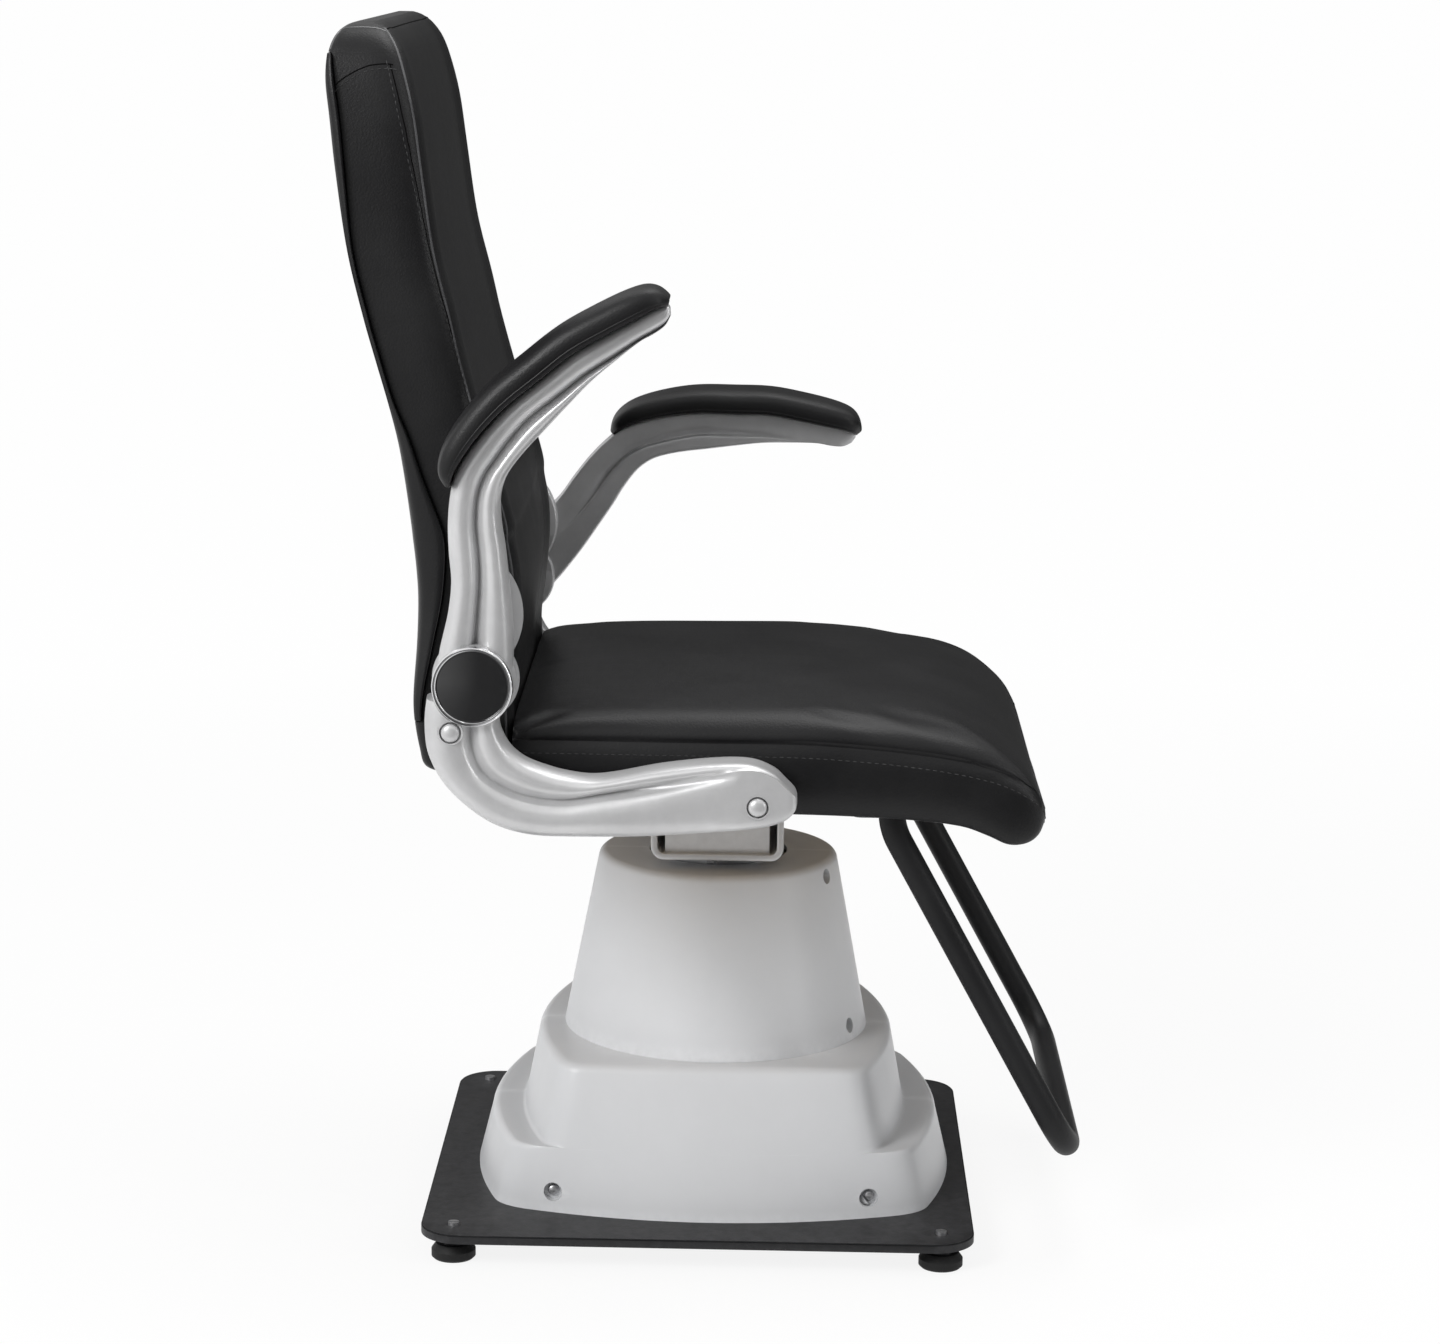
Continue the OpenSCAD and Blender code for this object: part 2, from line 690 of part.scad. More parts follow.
// Swivel spindle, seat bracket and seat plate
module swivel_spindle() {
  color(steel) {
    translate([0, 0, head_z1 + washer_t + run_fit])
      cylinder(h = spindle_flange_t, r = washer_r + 1);
    translate([0, 0, head_z1 - bearing_h - spindle_nut_h - bearing_lip])
      cylinder(h = bearing_h + spindle_nut_h + washer_t + 2 * bearing_lip, r = spindle_r);
  }
}

bolt_ring_r = washer_r * 0.76;
module spindle_fasteners() {
  bolt_r = 4;
  color(steel) {
    translate([0, 0, head_z1 - bearing_h - spindle_nut_h - seat_gap * 3]) difference() {
      cylinder(h = spindle_nut_h, r = spindle_r * 1.4, $fn = 6);
      translate([0, 0, -over]) cylinder(h = spindle_nut_h + 2 * over, r = spindle_r);
    }
    for (a = [45 : 90 : 315]) rotate(a) translate([bolt_ring_r, 0, bracket_z0 + bracket_wall])
      cylinder(h = bolt_r * 1.6, r = bolt_r * 1.8, $fn = 6);
  }
}

module swivel_bracket() {
  r = 12;
  color(silver) translate([0, -bracket_len / 2, bracket_z0 + bracket_h / 2]) rotate([-90, 0, 0])
    linear_extrude(bracket_len) difference() {
      round_rect(bracket_w, bracket_h, r);
      round_rect(bracket_w - 2 * bracket_wall, bracket_h - 2 * bracket_wall, r - bracket_wall);
    }
}

module bracket_panels() {
  t = 3;
  recess = 8;
  slot = 7;
  color(silver) for (j = [-1, 1])
    translate([0, j * (bracket_len / 2 - recess) - t / 2, bracket_z0 + bracket_wall])
      translate([-bracket_w / 2 + bracket_wall + slot, 0, seat_gap])
        cube([bracket_w - 2 * bracket_wall - 2 * slot, t, bracket_h - 2 * bracket_wall - 2 * seat_gap]);
}

seat_plate_x = 240;
seat_plate_y = 220;
module seat_plate() {
  color(plate_black) translate([0, 0, bracket_z1]) linear_extrude(seat_plate_t - seat_gap)
    round_rect(seat_plate_x, seat_plate_y, seat_plate_t * 3);
}

// Seat cushion: rings across the seat from its rear to its front. Each row is
// the place along the seat and the heights of the underside, the side crease
// and the crown, as shares of the seat's own sizes, then the half width.
seat_len = seat_front + seat_rear;
seat_rows_share = [
  [0.000, 0.06, 0.96, 0.60, 0.970], [0.008, 0.02, 0.985, 0.66, 0.984],
  [0.060, 0.00, 1.00, 0.78, 0.995], [0.200, 0.00, 1.00, 0.94, 1.000],
  [0.380, 0.00, 1.00, 1.00, 1.004], [0.540, 0.00, 1.00, 1.04, 1.004],
  [0.660, -0.02, 0.95, 1.06, 1.002], [0.760, -0.06, 0.88, 1.06, 0.998],
  [0.840, -0.13, 0.79, 1.00, 0.992], [0.890, -0.26, 0.70, 0.90, 0.984],
  [0.930, -0.39, 0.59, 0.70, 0.974], [0.965, -0.38, 0.44, 0.50, 0.958],
  [0.988, -0.27, 0.28, 0.28, 0.935], [1.000, -0.08, 0.08, 0.10, 0.900]
];
// Half a section of the cushion below the crease: share of the half width
// and of the side's height
seat_side_share = [
  [0.00, 0.00], [0.45, 0.00], [0.80, 0.00], [0.945, 0.02], [0.988, 0.14],
  [1.000, 0.45], [0.999, 0.80], [0.978, 1.00]
];
// Half a section above the crease: share of the half width and of the crown
seat_top_share = [
  [0.990, 0.16], [0.972, 0.48], [0.930, 0.74], [0.850, 0.90], [0.680, 0.96],
  [0.350, 0.99], [0.00, 1.00]
];

function seat_ring(row) =
  let (x = row[0] * seat_len - seat_rear, hw = row[4] * seat_w / 2,
       z0 = seat_z0 + row[1] * seat_side_h, z1 = seat_z0 + row[2] * seat_side_h,
       z2 = z1 + row[3] * seat_crown_h,
       half = concat([for (p = seat_side_share) [p[0] * hw, mix(z0, z1, p[1])]],
                     [for (p = seat_top_share) [p[0] * hw, mix(z1, z2, p[1])]]),
       n = len(half))
  concat([for (p = half) [x, p[0], p[1]]],
         [for (i = [n - 2 : -1 : 1]) [x, -half[i][0], half[i][1]]]);

board_in = 14;
board_front_in = 90;
seat_board_x0 = -seat_rear + board_in;
seat_board_x1 = seat_front - board_front_in;
seat_board_y = seat_w / 2 - board_in;
bar_r = 11;
front_bar_x = 37;
front_bar_z = seat_z0 + seat_board_t + bar_r + seat_gap;
rear_bar_back = 19;
rear_bar_down = 41;
rear_bar_x = -pivot_back - rear_bar_back;
rear_bar_z = seat_z0 + pivot_up - rear_bar_down;

module board_outline(grow) {
  r = 20;
  translate([(seat_board_x0 + seat_board_x1) / 2, 0])
    round_rect(seat_board_x1 - seat_board_x0 + 2 * grow, 2 * (seat_board_y + grow), r + grow);
}

module seat_board() {
  color(plywood) translate([0, 0, seat_z0]) linear_extrude(seat_board_t) board_outline(0);
}

module seat_cushion() {
  tunnel = bar_r + pad_gap;
  color(leather_black) difference() {
    loft([for (row = smooth(seat_rows_share, 2)) seat_ring(row)]);
    translate([0, 0, seat_z0 - seat_side_h])
      linear_extrude(seat_board_t + seat_side_h + pad_gap) board_outline(pad_gap);
    translate([front_bar_x - tunnel, -seat_w, seat_z0 + seat_board_t])
      cube([2 * tunnel, 2 * seat_w, 2 * tunnel + seat_gap]);
  }
}

screw_top = 2.4;
module seat_screws() {
  color(steel) {
    for (i = [-1, 1]) for (j = [-1, 1])
      translate([i * seat_plate_x * 0.42, j * seat_plate_y * 0.4, bracket_z1 - screw_top])
        cylinder(h = screw_top - seat_gap, r = screw_head_r);
    for (j = [-1, 1]) for (i = [-1, 1])
      translate([foot_top_x + i * foot_tube_d, j * foot_tube_span / 2, foot_flange_z0 - screw_top])
        cylinder(h = screw_top - seat_gap, r = screw_head_r);
  }
}

// Footrest: one bent tube. Its slope leans by foot_lean from the vertical.
foot_flange_t = 4;
foot_flange_z0 = seat_z0 - foot_flange_t;
foot_top_x = 156;
foot_bend_r = 60;
foot_corner_r = 45;
foot_knee_z = foot_flange_z0 + foot_flange_t / 2;
foot_drop = foot_knee_z - foot_bar_z;
foot_run = foot_bar_reach - foot_bend_r;
// The lean at which the slope, after its upper bend, meets the lower bar
foot_lean = atan(foot_run / foot_drop) + asin(foot_bend_r / norm([foot_run, foot_drop]));
foot_slope_l = (foot_drop - foot_bend_r * sin(foot_lean)) / cos(foot_lean);

module foot_half(r) {
  y = foot_tube_span / 2;
  translate([foot_top_x + foot_bar_reach, 0, foot_bar_z]) rotate([0, -foot_lean, 0]) {
    translate([foot_bend_r, y, foot_slope_l]) rotate([-90, 0, 0]) rotate([0, 0, 180])
      rotate_extrude(angle = foot_lean) translate([foot_bend_r, 0]) circle(r);
    translate([0, y, foot_corner_r]) cylinder(h = foot_slope_l - foot_corner_r, r = r);
    translate([0, y - foot_corner_r, foot_corner_r]) rotate([0, 90, 0])
      rotate_extrude(angle = 90) translate([foot_corner_r, 0]) circle(r);
    rotate([-90, 0, 0]) cylinder(h = y - foot_corner_r, r = r);
  }
}

module footrest() {
  r = foot_tube_d / 2;
  color(plate_black) union() {
    difference() {
      union() {
        foot_half(r);
        mirror([0, 1, 0]) foot_half(r);
      }
      foot_half(r - foot_tube_wall);
      mirror([0, 1, 0]) foot_half(r - foot_tube_wall);
    }
    for (j = [-1, 1]) translate([foot_top_x, j * foot_tube_span / 2, foot_flange_z0])
      linear_extrude(foot_flange_t - seat_gap) difference() {
        round_rect(foot_tube_d * 3, foot_tube_d * 2, foot_tube_d / 3);
        circle(r - foot_tube_wall / 2);
      }
  }
}

// Back: rings across the back from its lower edge to its top. Each row is the
// height, the place of the rear face, the depth of the rear cover and of the
// whole back, as shares of the back's height, then the share of half the width.
back_ahead = 29;
back_down = 97;
back_x0 = -pivot_back + back_ahead;
back_z0 = seat_z0 + pivot_up - back_down;
back_rows_share = [
  [0.000, -0.092, 0.000, 0.060, 0.900], [0.012, -0.117, 0.000, 0.098, 0.945],
  [0.038, -0.124, 0.008, 0.120, 0.972], [0.076, -0.130, 0.011, 0.129, 0.988],
  [0.115, -0.132, 0.015, 0.132, 0.996], [0.186, -0.128, 0.025, 0.136, 1.000],
  [0.242, -0.127, 0.035, 0.138, 1.003], [0.285, -0.130, 0.042, 0.138, 1.005],
  [0.318, -0.134, 0.046, 0.136, 1.005], [0.344, -0.137, 0.043, 0.137, 1.005],
  [0.403, -0.145, 0.028, 0.128, 1.003], [0.456, -0.154, 0.019, 0.120, 1.002],
  [0.506, -0.165, 0.009, 0.116, 1.000], [0.561, -0.181, 0.008, 0.117, 0.998],
  [0.617, -0.197, 0.008, 0.120, 0.995], [0.700, -0.217, 0.008, 0.119, 0.990],
  [0.800, -0.233, 0.014, 0.120, 0.985], [0.870, -0.241, 0.015, 0.118, 0.978],
  [0.917, -0.245, 0.012, 0.111, 0.965], [0.955, -0.240, 0.000, 0.093, 0.935],
  [0.978, -0.229, 0.000, 0.067, 0.890], [0.992, -0.214, 0.000, 0.036, 0.820],
  [1.000, -0.202, 0.000, 0.012, 0.740]
];
back_cover_first = 3;
back_cover_last = 17;
back_steps = 2;
// The rows that the rear cover runs along, and the shorter run of the board
cover_rows = smooth([for (i = [back_cover_first : back_cover_last]) back_rows_share[i]],
                    back_steps);
board_rows = [for (i = [back_steps : len(cover_rows) - 1 - back_steps]) cover_rows[i]];
// The most that the rear edges of the cushion and of its cover are rounded
back_edge_most = 9;
cover_edge_most = 14;
cover_seam_in = 1.5;
cover_side_in = 0.4;
// How far a bar's notch runs out through the cushion's rear face
bar_notch = 30;
// Half the front of a section, from the middle to the side: share of the
// half width and of the depth
back_front_share = [
  [0.00, 0.985], [0.40, 0.978], [0.68, 0.955], [0.76, 0.965], [0.86, 1.000],
  [0.94, 0.965], [0.985, 0.84], [0.998, 0.66], [1.000, 0.46]
];

function back_z(row) = back_z0 + row[0] * back_h;
function back_rear(row) = back_x0 + row[1] * back_h;
function back_seam(row) = back_rear(row) + row[2] * back_h;
function back_front(row) = back_rear(row) + row[3] * back_h;
function back_half(row) = row[4] * back_w / 2;

// Ring of the front cushion: crowned front and sides, then a flat rear face
function back_ring(row, x_rear) =
  let (hw = back_half(row), z = back_z(row), xf = back_front(row), xr = back_rear(row),
       edge = min((xf - x_rear) * 0.2, back_edge_most),
       front = [for (p = back_front_share) [mix(xr, xf, p[1]), p[0] * hw]],
       rear = [[x_rear + edge, hw * 0.997], [x_rear + edge * 0.25, hw - edge * 0.4],
               [x_rear, hw - edge * 1.4]],
       half = concat([for (p = front) [max(p[0], x_rear + edge * 1.2), p[1]]], rear),
       n = len(half))
  concat([for (p = half) [p[0], p[1], z]], [[x_rear, 0, z]],
         [for (i = [n - 1 : -1 : 1]) [half[i][0], -half[i][1], z]]);

back_board_in = 30;
module back_cushion() {
  rows = back_rows_share;
  low = [for (i = [0 : back_cover_first]) rows[i]];
  mid = [for (i = [back_cover_first : back_cover_last]) rows[i]];
  top = [for (i = [back_cover_last : len(rows) - 1]) rows[i]];
  tunnel = bar_r + pad_gap;
  function lift(row, dz) = [row[0] + dz / back_h, row[1], row[2], row[3], row[4]];
  color(leather_black) difference() {
    loft(concat(
      [for (row = smooth(low, 2)) back_ring(row, back_rear(row))],
      [for (row = smooth(mid, 2))
        let (k = row == mid[0] ? pad_gap : (row == mid[len(mid) - 1] ? -pad_gap : 0))
        back_ring(lift(row, k), back_seam(row) + pad_gap)],
      [for (row = smooth(top, 2)) back_ring(row, back_rear(row))]));
    board_body(pad_gap);
    translate([rear_bar_x - bar_r - bar_notch, -back_w, rear_bar_z - tunnel])
      cube([bar_r + bar_notch + tunnel, 2 * back_w, 2 * tunnel]);
  }
}

// The curved plywood board in the cushion's rear face, grown by g
module board_body(g) {
  rows = board_rows;
  n = len(rows) - 1;
  loft([for (i = [0 : n]) let (row = rows[i],
      x0 = back_seam(row) + pad_gap - (g > 0 ? over : 0),
      x1 = back_seam(row) + pad_gap + back_board_t + g,
      y = back_half(row) - back_board_in + g,
      z = back_z(row) + (i == 0 ? -g : (i == n ? g : 0)))
    [[x1, -y, z], [x1, y, z], [x0, y, z], [x0, -y, z]]]);
}

module back_board() { color(plywood) board_body(0); }

module back_rear_cover() {
  rows = cover_rows;
  n = len(rows) - 1;
  function cover_ring(row, k) =
    let (x0 = back_rear(row), x1 = back_seam(row), hw = back_half(row), d = x1 - x0,
         e = min(d, cover_edge_most), z = back_z(row) + k,
         half = [[x1, 0], [x1, hw - cover_seam_in], [x1 - d * 0.35, hw - cover_side_in],
                 [x1 - d * 0.75, hw - e * 0.35], [x0 + d * 0.04, hw - e * 1.2],
                 [x0 - d * 0.02, hw * 0.6], [x0 - d * 0.06, 0]],
         m = len(half))
    concat([for (p = half) [p[0], p[1], z]],
           [for (i = [m - 2 : -1 : 1]) [half[i][0], -half[i][1], z]]);
  color(leather_black) loft([for (i = [0 : n])
    cover_ring(rows[i], i == 0 ? 2 * pad_gap : (i == n ? -2 * pad_gap : 0))]);
}

front_bar_y = seat_w * 0.502 + pad_gap;
rear_bar_y = back_w / 2 + over;
module cross_bars() {
  thread_r = 4;
  depth = 34;
  saddle_w = 36;
  y_front = front_bar_y;
  y_rear = rear_bar_y;
  saddle_x = back_seam(board_rows[0]) + back_board_t + 2 * pad_gap;
  color(steel) {
    difference() {
      y_rod(front_bar_x, front_bar_z, -y_front, y_front, bar_r);
      for (j = [-1, 1]) translate([front_bar_x, j * y_front, front_bar_z]) rotate([j * 90, 0, 0])
        translate([0, 0, -over]) cylinder(h = depth, r = thread_r);
    }
    difference() {
      union() {
        y_rod(rear_bar_x, rear_bar_z, -y_rear, y_rear, bar_r);
        for (j = [-1, 1]) translate([saddle_x, j * back_w * 0.3 - saddle_w / 2, rear_bar_z - bar_r * 0.8])
          cube([rear_bar_x - saddle_x, saddle_w, bar_r * 1.6]);
      }
      for (j = [-1, 1]) translate([rear_bar_x, j * y_rear, rear_bar_z]) rotate([j * 90, 0, 0])
        translate([0, 0, -over]) cylinder(h = depth, r = thread_r);
    }
  }
}

// Armrest brackets: each runs from the pivot down behind the seat and along
// the seat's side to the front bolt. Each row is the outer edge, the inner
// edge and the place of the rib between them, as shares.
pivot_x = -pivot_back;
pivot_z = seat_z0 + pivot_up;
arm_outer_y = arm_inner_y + arm_t;
hub_r = pivot_cap_d / 2;
hub_clear = 1;
hub_split_y = arm_inner_y + arm_t / 2;
hub_gap = 0.2;
hook_ahead = 72;
hook_l = pivot_back + hook_ahead;
hook_d = 134;
hook_rows_share = [
  [-0.146, -0.10, 0.082, -0.17, 0.62], [-0.153, -0.27, 0.078, -0.28, 0.62],
  [-0.142, -0.46, 0.107, -0.41, 0.56], [-0.096, -0.65, 0.153, -0.495, 0.50],
  [-0.021, -0.81, 0.210, -0.545, 0.50], [0.068, -0.93, 0.281, -0.585, 0.55],
  [0.174, -0.99, 0.359, -0.605, 0.62], [0.310, -1.00, 0.438, -0.588, 0.70],
  [0.523, -0.99, 0.584, -0.525, 0.74], [0.737, -0.955, 0.744, -0.485, 0.84],
  [0.851, -0.93, 0.851, -0.485, 0.92], [0.922, -0.90, 0.922, -0.54, 0.94],
  [0.968, -0.855, 0.965, -0.63, 0.94], [0.993, -0.79, 0.993, -0.70, 0.94]
];

// Ring of a flat casting between edge points p and q, from y0 to y1, with a
// fold at share w that is lower than its two ridges
function casting_ring(p, q, w, y0, y1, floor_share) =
  [for (s = [[0.94, 0], [1, 0.2], [0.99, 0.55], [w + 0.65 * (1 - w), 0.88],
             [w + 0.2 * (1 - w), mix(floor_share, 0.9, 0.6)], [w, floor_share],
             [0.86 * w, 0.92], [0.55 * w, 1.0], [0.22 * w, 0.95], [0.01, 0.62],
             [0, 0.22], [0.06, 0]])
    let (e = mix(p, q, s[0])) [e[0], mix(y0, y1, s[1]), e[1]]];

module hook_body() {
  rows = smooth(hook_rows_share, 2);
  loft([for (i = [len(rows) - 1 : -1 : 0]) let (s = rows[i])
    casting_ring([pivot_x + s[0] * hook_l, pivot_z + s[1] * hook_d],
                 [pivot_x + s[2] * hook_l, pivot_z + s[3] * hook_d],
                 s[4], arm_inner_y, arm_outer_y, 0.72)]);
}

bolt_r = 4;
bolt_head_r = 9.5;
bolt_boss_t = 2;
bolt_grip = 28;
bolt_recess = 3;
module arm_bracket() {
  difference() {
    union() {
      hook_body();
      y_rod(pivot_x, pivot_z, arm_inner_y, hub_split_y - hub_gap, hub_r);
      for (p = [[front_bar_x, front_bar_z], [rear_bar_x, rear_bar_z]])
        y_rod(p[0], p[1], arm_inner_y, arm_outer_y - 0.04 * arm_t, bolt_head_r + bolt_boss_t);
    }
    y_rod(pivot_x, pivot_z, hub_split_y - hub_gap, arm_outer_y + over, hub_r + hub_clear);
    y_rod(pivot_x, pivot_z, arm_inner_y - over, arm_outer_y, pin_axle_r);
    for (p = [[front_bar_x, front_bar_z], [rear_bar_x, rear_bar_z]]) {
      y_rod(p[0], p[1], arm_inner_y - over, arm_outer_y, bolt_r + seat_gap);
      y_rod(p[0], p[1], arm_outer_y - bolt_recess, arm_outer_y + over, bolt_head_r + seat_gap);
    }
  }
}

module arm_bracket_right() { color(silver) on_side(true) arm_bracket(); }
module arm_bracket_left() { color(silver) on_side(false) arm_bracket(); }

spacer_r = 13;
module bracket_spacers() {
  for (right = [true, false]) color(steel) on_side(right) difference() {
    union() {
      y_rod(front_bar_x, front_bar_z, front_bar_y + seat_gap, arm_inner_y - seat_gap, spacer_r);
      y_rod(rear_bar_x, rear_bar_z, rear_bar_y + seat_gap, arm_inner_y - seat_gap, spacer_r);
    }
    y_rod(front_bar_x, front_bar_z, 0, arm_outer_y, bolt_r + seat_gap);
    y_rod(rear_bar_x, rear_bar_z, 0, arm_outer_y, bolt_r + seat_gap);
  }
}

module bracket_bolts() {
  ends = [[front_bar_x, front_bar_z, front_bar_y], [rear_bar_x, rear_bar_z, rear_bar_y]];
  for (right = [true, false]) for (p = ends)
    color(silver) on_side(right) {
      y_rod(p[0], p[1], p[2] - bolt_grip, arm_outer_y - bolt_recess + over, bolt_r);
      translate([p[0], arm_outer_y - bolt_recess, p[1]]) rotate([-90, 0, 0]) rotate_extrude()
        polygon([[0, 0], [bolt_head_r, 0], [bolt_head_r, bolt_recess],
                 [bolt_head_r * 0.86, bolt_recess * 1.6], [bolt_head_r * 0.5, bolt_recess * 2],
                 [0, bolt_recess * 2.1]]);
    }
}

// Pivot pin: an axle with a head behind the bracket and a retaining disc in
// the arm's recess
pin_axle_r = 8;
pin_head_r = 14;
pin_head_t = 6;
disc_t = 3;
cap_room = 5;
disc_y = arm_outer_y - over - disc_t - cap_room;
module pivot_pins() {
  for (right = [true, false]) color(steel) on_side(right) {
    y_rod(pivot_x, pivot_z, arm_inner_y - pin_head_t, disc_y + over, pin_axle_r - run_fit);
    y_rod(pivot_x, pivot_z, arm_inner_y - pin_head_t - seat_gap, arm_inner_y - seat_gap, pin_head_r);
    y_rod(pivot_x, pivot_z, disc_y + hub_gap, disc_y + hub_gap + disc_t, pin_head_r);
  }
}

// Armrests, drawn raised by arm_drawn_at from level and turned to place. Each
// row is the rear edge, the front edge and the place of the fold, as shares
// of the arm's reach and rise.
arm_drawn_at = 40;
arm_rows_share = [
  [-0.19, 0.03, 0.20, 0.03, 0.49], [-0.182, 0.085, 0.203, 0.097, 0.49],
  [-0.139, 0.182, 0.194, 0.191, 0.47], [-0.121, 0.267, 0.176, 0.279, 0.50],
  [-0.133, 0.342, 0.158, 0.358, 0.53], [-0.139, 0.415, 0.139, 0.418, 0.53],
  [-0.130, 0.485, 0.133, 0.485, 0.55], [-0.103, 0.548, 0.158, 0.536, 0.58],
  [-0.036, 0.609, 0.206, 0.576, 0.60], [0.061, 0.673, 0.279, 0.621, 0.58],
  [0.188, 0.739, 0.364, 0.667, 0.56], [0.352, 0.806, 0.479, 0.730, 0.64],
  [0.509, 0.870, 0.600, 0.794, 0.74], [0.673, 0.918, 0.739, 0.855, 0.86],
  [0.830, 0.961, 0.848, 0.900, 0.94], [0.921, 0.985, 0.921, 0.921, 0.94],
  [0.982, 0.994, 0.976, 0.942, 0.94], [1.000, 0.988, 1.003, 0.967, 0.94]
];
// The part of an arm's thickness that each row keeps, half from each side
arm_t_share = [1, 1, 1, 0.98, 0.96, 0.94, 0.93, 0.92, 0.91, 0.9, 0.9, 0.88, 0.86, 0.82, 0.76,
               0.68, 0.56, 0.42];

function arm_rear(t) = let (s = along(arm_rows_share, t)) [s[0] * arm_reach, s[1] * arm_rise];
function arm_front(t) = let (s = along(arm_rows_share, t)) [s[2] * arm_reach, s[3] * arm_rise];
// The direction square to the rear edge, away from the arm
function arm_out(t) =
  let (d = arm_rear(min(t + 0.2, len(arm_rows_share) - 1)) - arm_rear(t - 0.2))
  [-d[1], d[0]] / norm(d);

module arm_loft() {
  n = (len(arm_rows_share) - 1) * 2;
  loft([for (i = [0 : n]) let (t = i / 2, s = along(arm_rows_share, t),
      cut = (1 - along(arm_t_share, t)) * arm_t / 2)
    casting_ring(arm_rear(t), arm_front(t), s[4], arm_inner_y + cut, arm_outer_y - over - cut, 0.64)]);
}

// Turns an arm from its drawing to its place at rest
module at_pivot(right) {
  on_side(right) translate([pivot_x, 0, pivot_z])
    rotate([0, right ? arm_drawn_at - right_arm_raised : arm_drawn_at, 0]) children();
}

module arm_body() {
  difference() {
    union() {
      difference() {
        arm_loft();
        y_rod(0, 0, arm_inner_y - over, hub_split_y + 2 * hub_gap, hub_r + hub_clear);
      }
      y_rod(0, 0, hub_split_y + hub_gap, arm_outer_y - over, hub_r);
    }
    y_rod(0, 0, arm_inner_y, arm_outer_y + over, pin_axle_r);
    y_rod(0, 0, disc_y, arm_outer_y + over, pin_head_r + hub_clear);
  }
}

module arm_right() { color(silver) at_pivot(true) arm_body(); }
module arm_left() { color(silver) at_pivot(false) arm_body(); }

// Arm pad: rows of place along the arm, thickness and half width, as shares
pad_rows_share = [
  [6.5, 0.16, 0.46], [6.9, 0.50, 0.76], [7.4, 0.72, 0.90], [8, 0.84, 0.97],
  [9, 0.92, 1.00], [10, 0.98, 1.00], [11, 1.00, 1.00], [12, 1.00, 1.00],
  [13, 1.00, 0.99], [14, 0.96, 0.96], [15, 0.84, 0.86], [15.7, 0.60, 0.70],
  [16.2, 0.30, 0.46]
];
// Half a pad's section: share of the half width and of the thickness
pad_side_share = [
  [0.00, 0.02], [0.62, 0.02], [0.90, 0.04], [0.985, 0.20], [1.0, 0.42],
  [0.96, 0.66], [0.84, 0.86], [0.55, 0.97], [0.00, 1.00]
];

module pad_body() {
  rows = smooth(pad_rows_share, 2);
  mid_y = arm_inner_y + arm_t / 2;
  loft([for (row = rows) let (t = row[0], p = arm_rear(t), o = arm_out(t), n = len(pad_side_share),
      half = [for (s = pad_side_share)
        [s[0] * row[2] * arm_pad_w / 2, pad_gap + s[1] * row[1] * arm_pad_t]],
      ring = concat(half, [for (i = [n - 2 : -1 : 1]) [-half[i][0], half[i][1]]]))
    [for (q = ring) [p[0] + o[0] * q[1], mid_y + q[0], p[1] + o[1] * q[1]]]]);
}

module arm_pad_right() { color(leather_black) at_pivot(true) pad_body(); }
module arm_pad_left() { color(leather_black) at_pivot(false) pad_body(); }

// Hinge cheek: a plate round the pivot pin's head, on the bracket's inner
// face. It rises beside the armrest and guides it.
cheek_t = 6;
cheek_play = 0.3;
cheek_hub_r = hub_r + cheek_t / 2;
module cheek_body() {
  y1 = arm_inner_y - cheek_play;
  y0 = y1 - cheek_t;
  difference() {
    union() {
      intersection() {
        y_rod(pivot_x - arm_reach * 0.13, pivot_z + arm_rise * 0.17, y0, y1, arm_reach * 0.378);
        translate([pivot_x - arm_reach * 0.09, y0 - over, pivot_z])
          cube([arm_reach * 0.4, cheek_t + 2 * over, arm_rise * 0.4]);
      }
      y_rod(pivot_x, pivot_z, y0, y1, cheek_hub_r);
    }
    y_rod(pivot_x, pivot_z, y0 - over, y1 + over, pin_head_r + seat_gap);
    y_rod(rear_bar_x, rear_bar_z, y0 - over, y1 + over, spacer_r + seat_gap);
  }
}

module hinge_cheek_right() { color(silver) on_side(true) cheek_body(); }
module hinge_cheek_left() { color(silver) on_side(false) cheek_body(); }

// Pivot cap: a chrome ring round a black disc on the arm's outer face
ring_w = 4;
ring_t = 5;
module pivot_ring() {
  translate([0, arm_outer_y - over + seat_gap, 0]) rotate([-90, 0, 0]) rotate_extrude()
    polygon([[hub_r - ring_w, 0], [hub_r, 0], [hub_r, ring_t * 0.6],
             [hub_r - ring_w * 0.25, ring_t], [hub_r - ring_w * 0.7, ring_t],
             [hub_r - ring_w, ring_t * 0.7]]);
}

module pivot_cap() {
  r = hub_r - ring_w - seat_gap;
  translate([0, arm_outer_y - over + seat_gap, 0]) rotate([-90, 0, 0]) rotate_extrude()
    polygon([[0, 0], [r, 0], [r, ring_t * 0.6], [r * 0.7, ring_t * 0.8], [0, ring_t * 0.95]]);
}

module pivot_ring_right() { color(chrome) at_pivot(true) pivot_ring(); }
module pivot_ring_left() { color(chrome) at_pivot(false) pivot_ring(); }
module pivot_cap_right() { color([0.03, 0.03, 0.03]) at_pivot(true) pivot_cap(); }
module pivot_cap_left() { color([0.03, 0.03, 0.03]) at_pivot(false) pivot_cap(); }

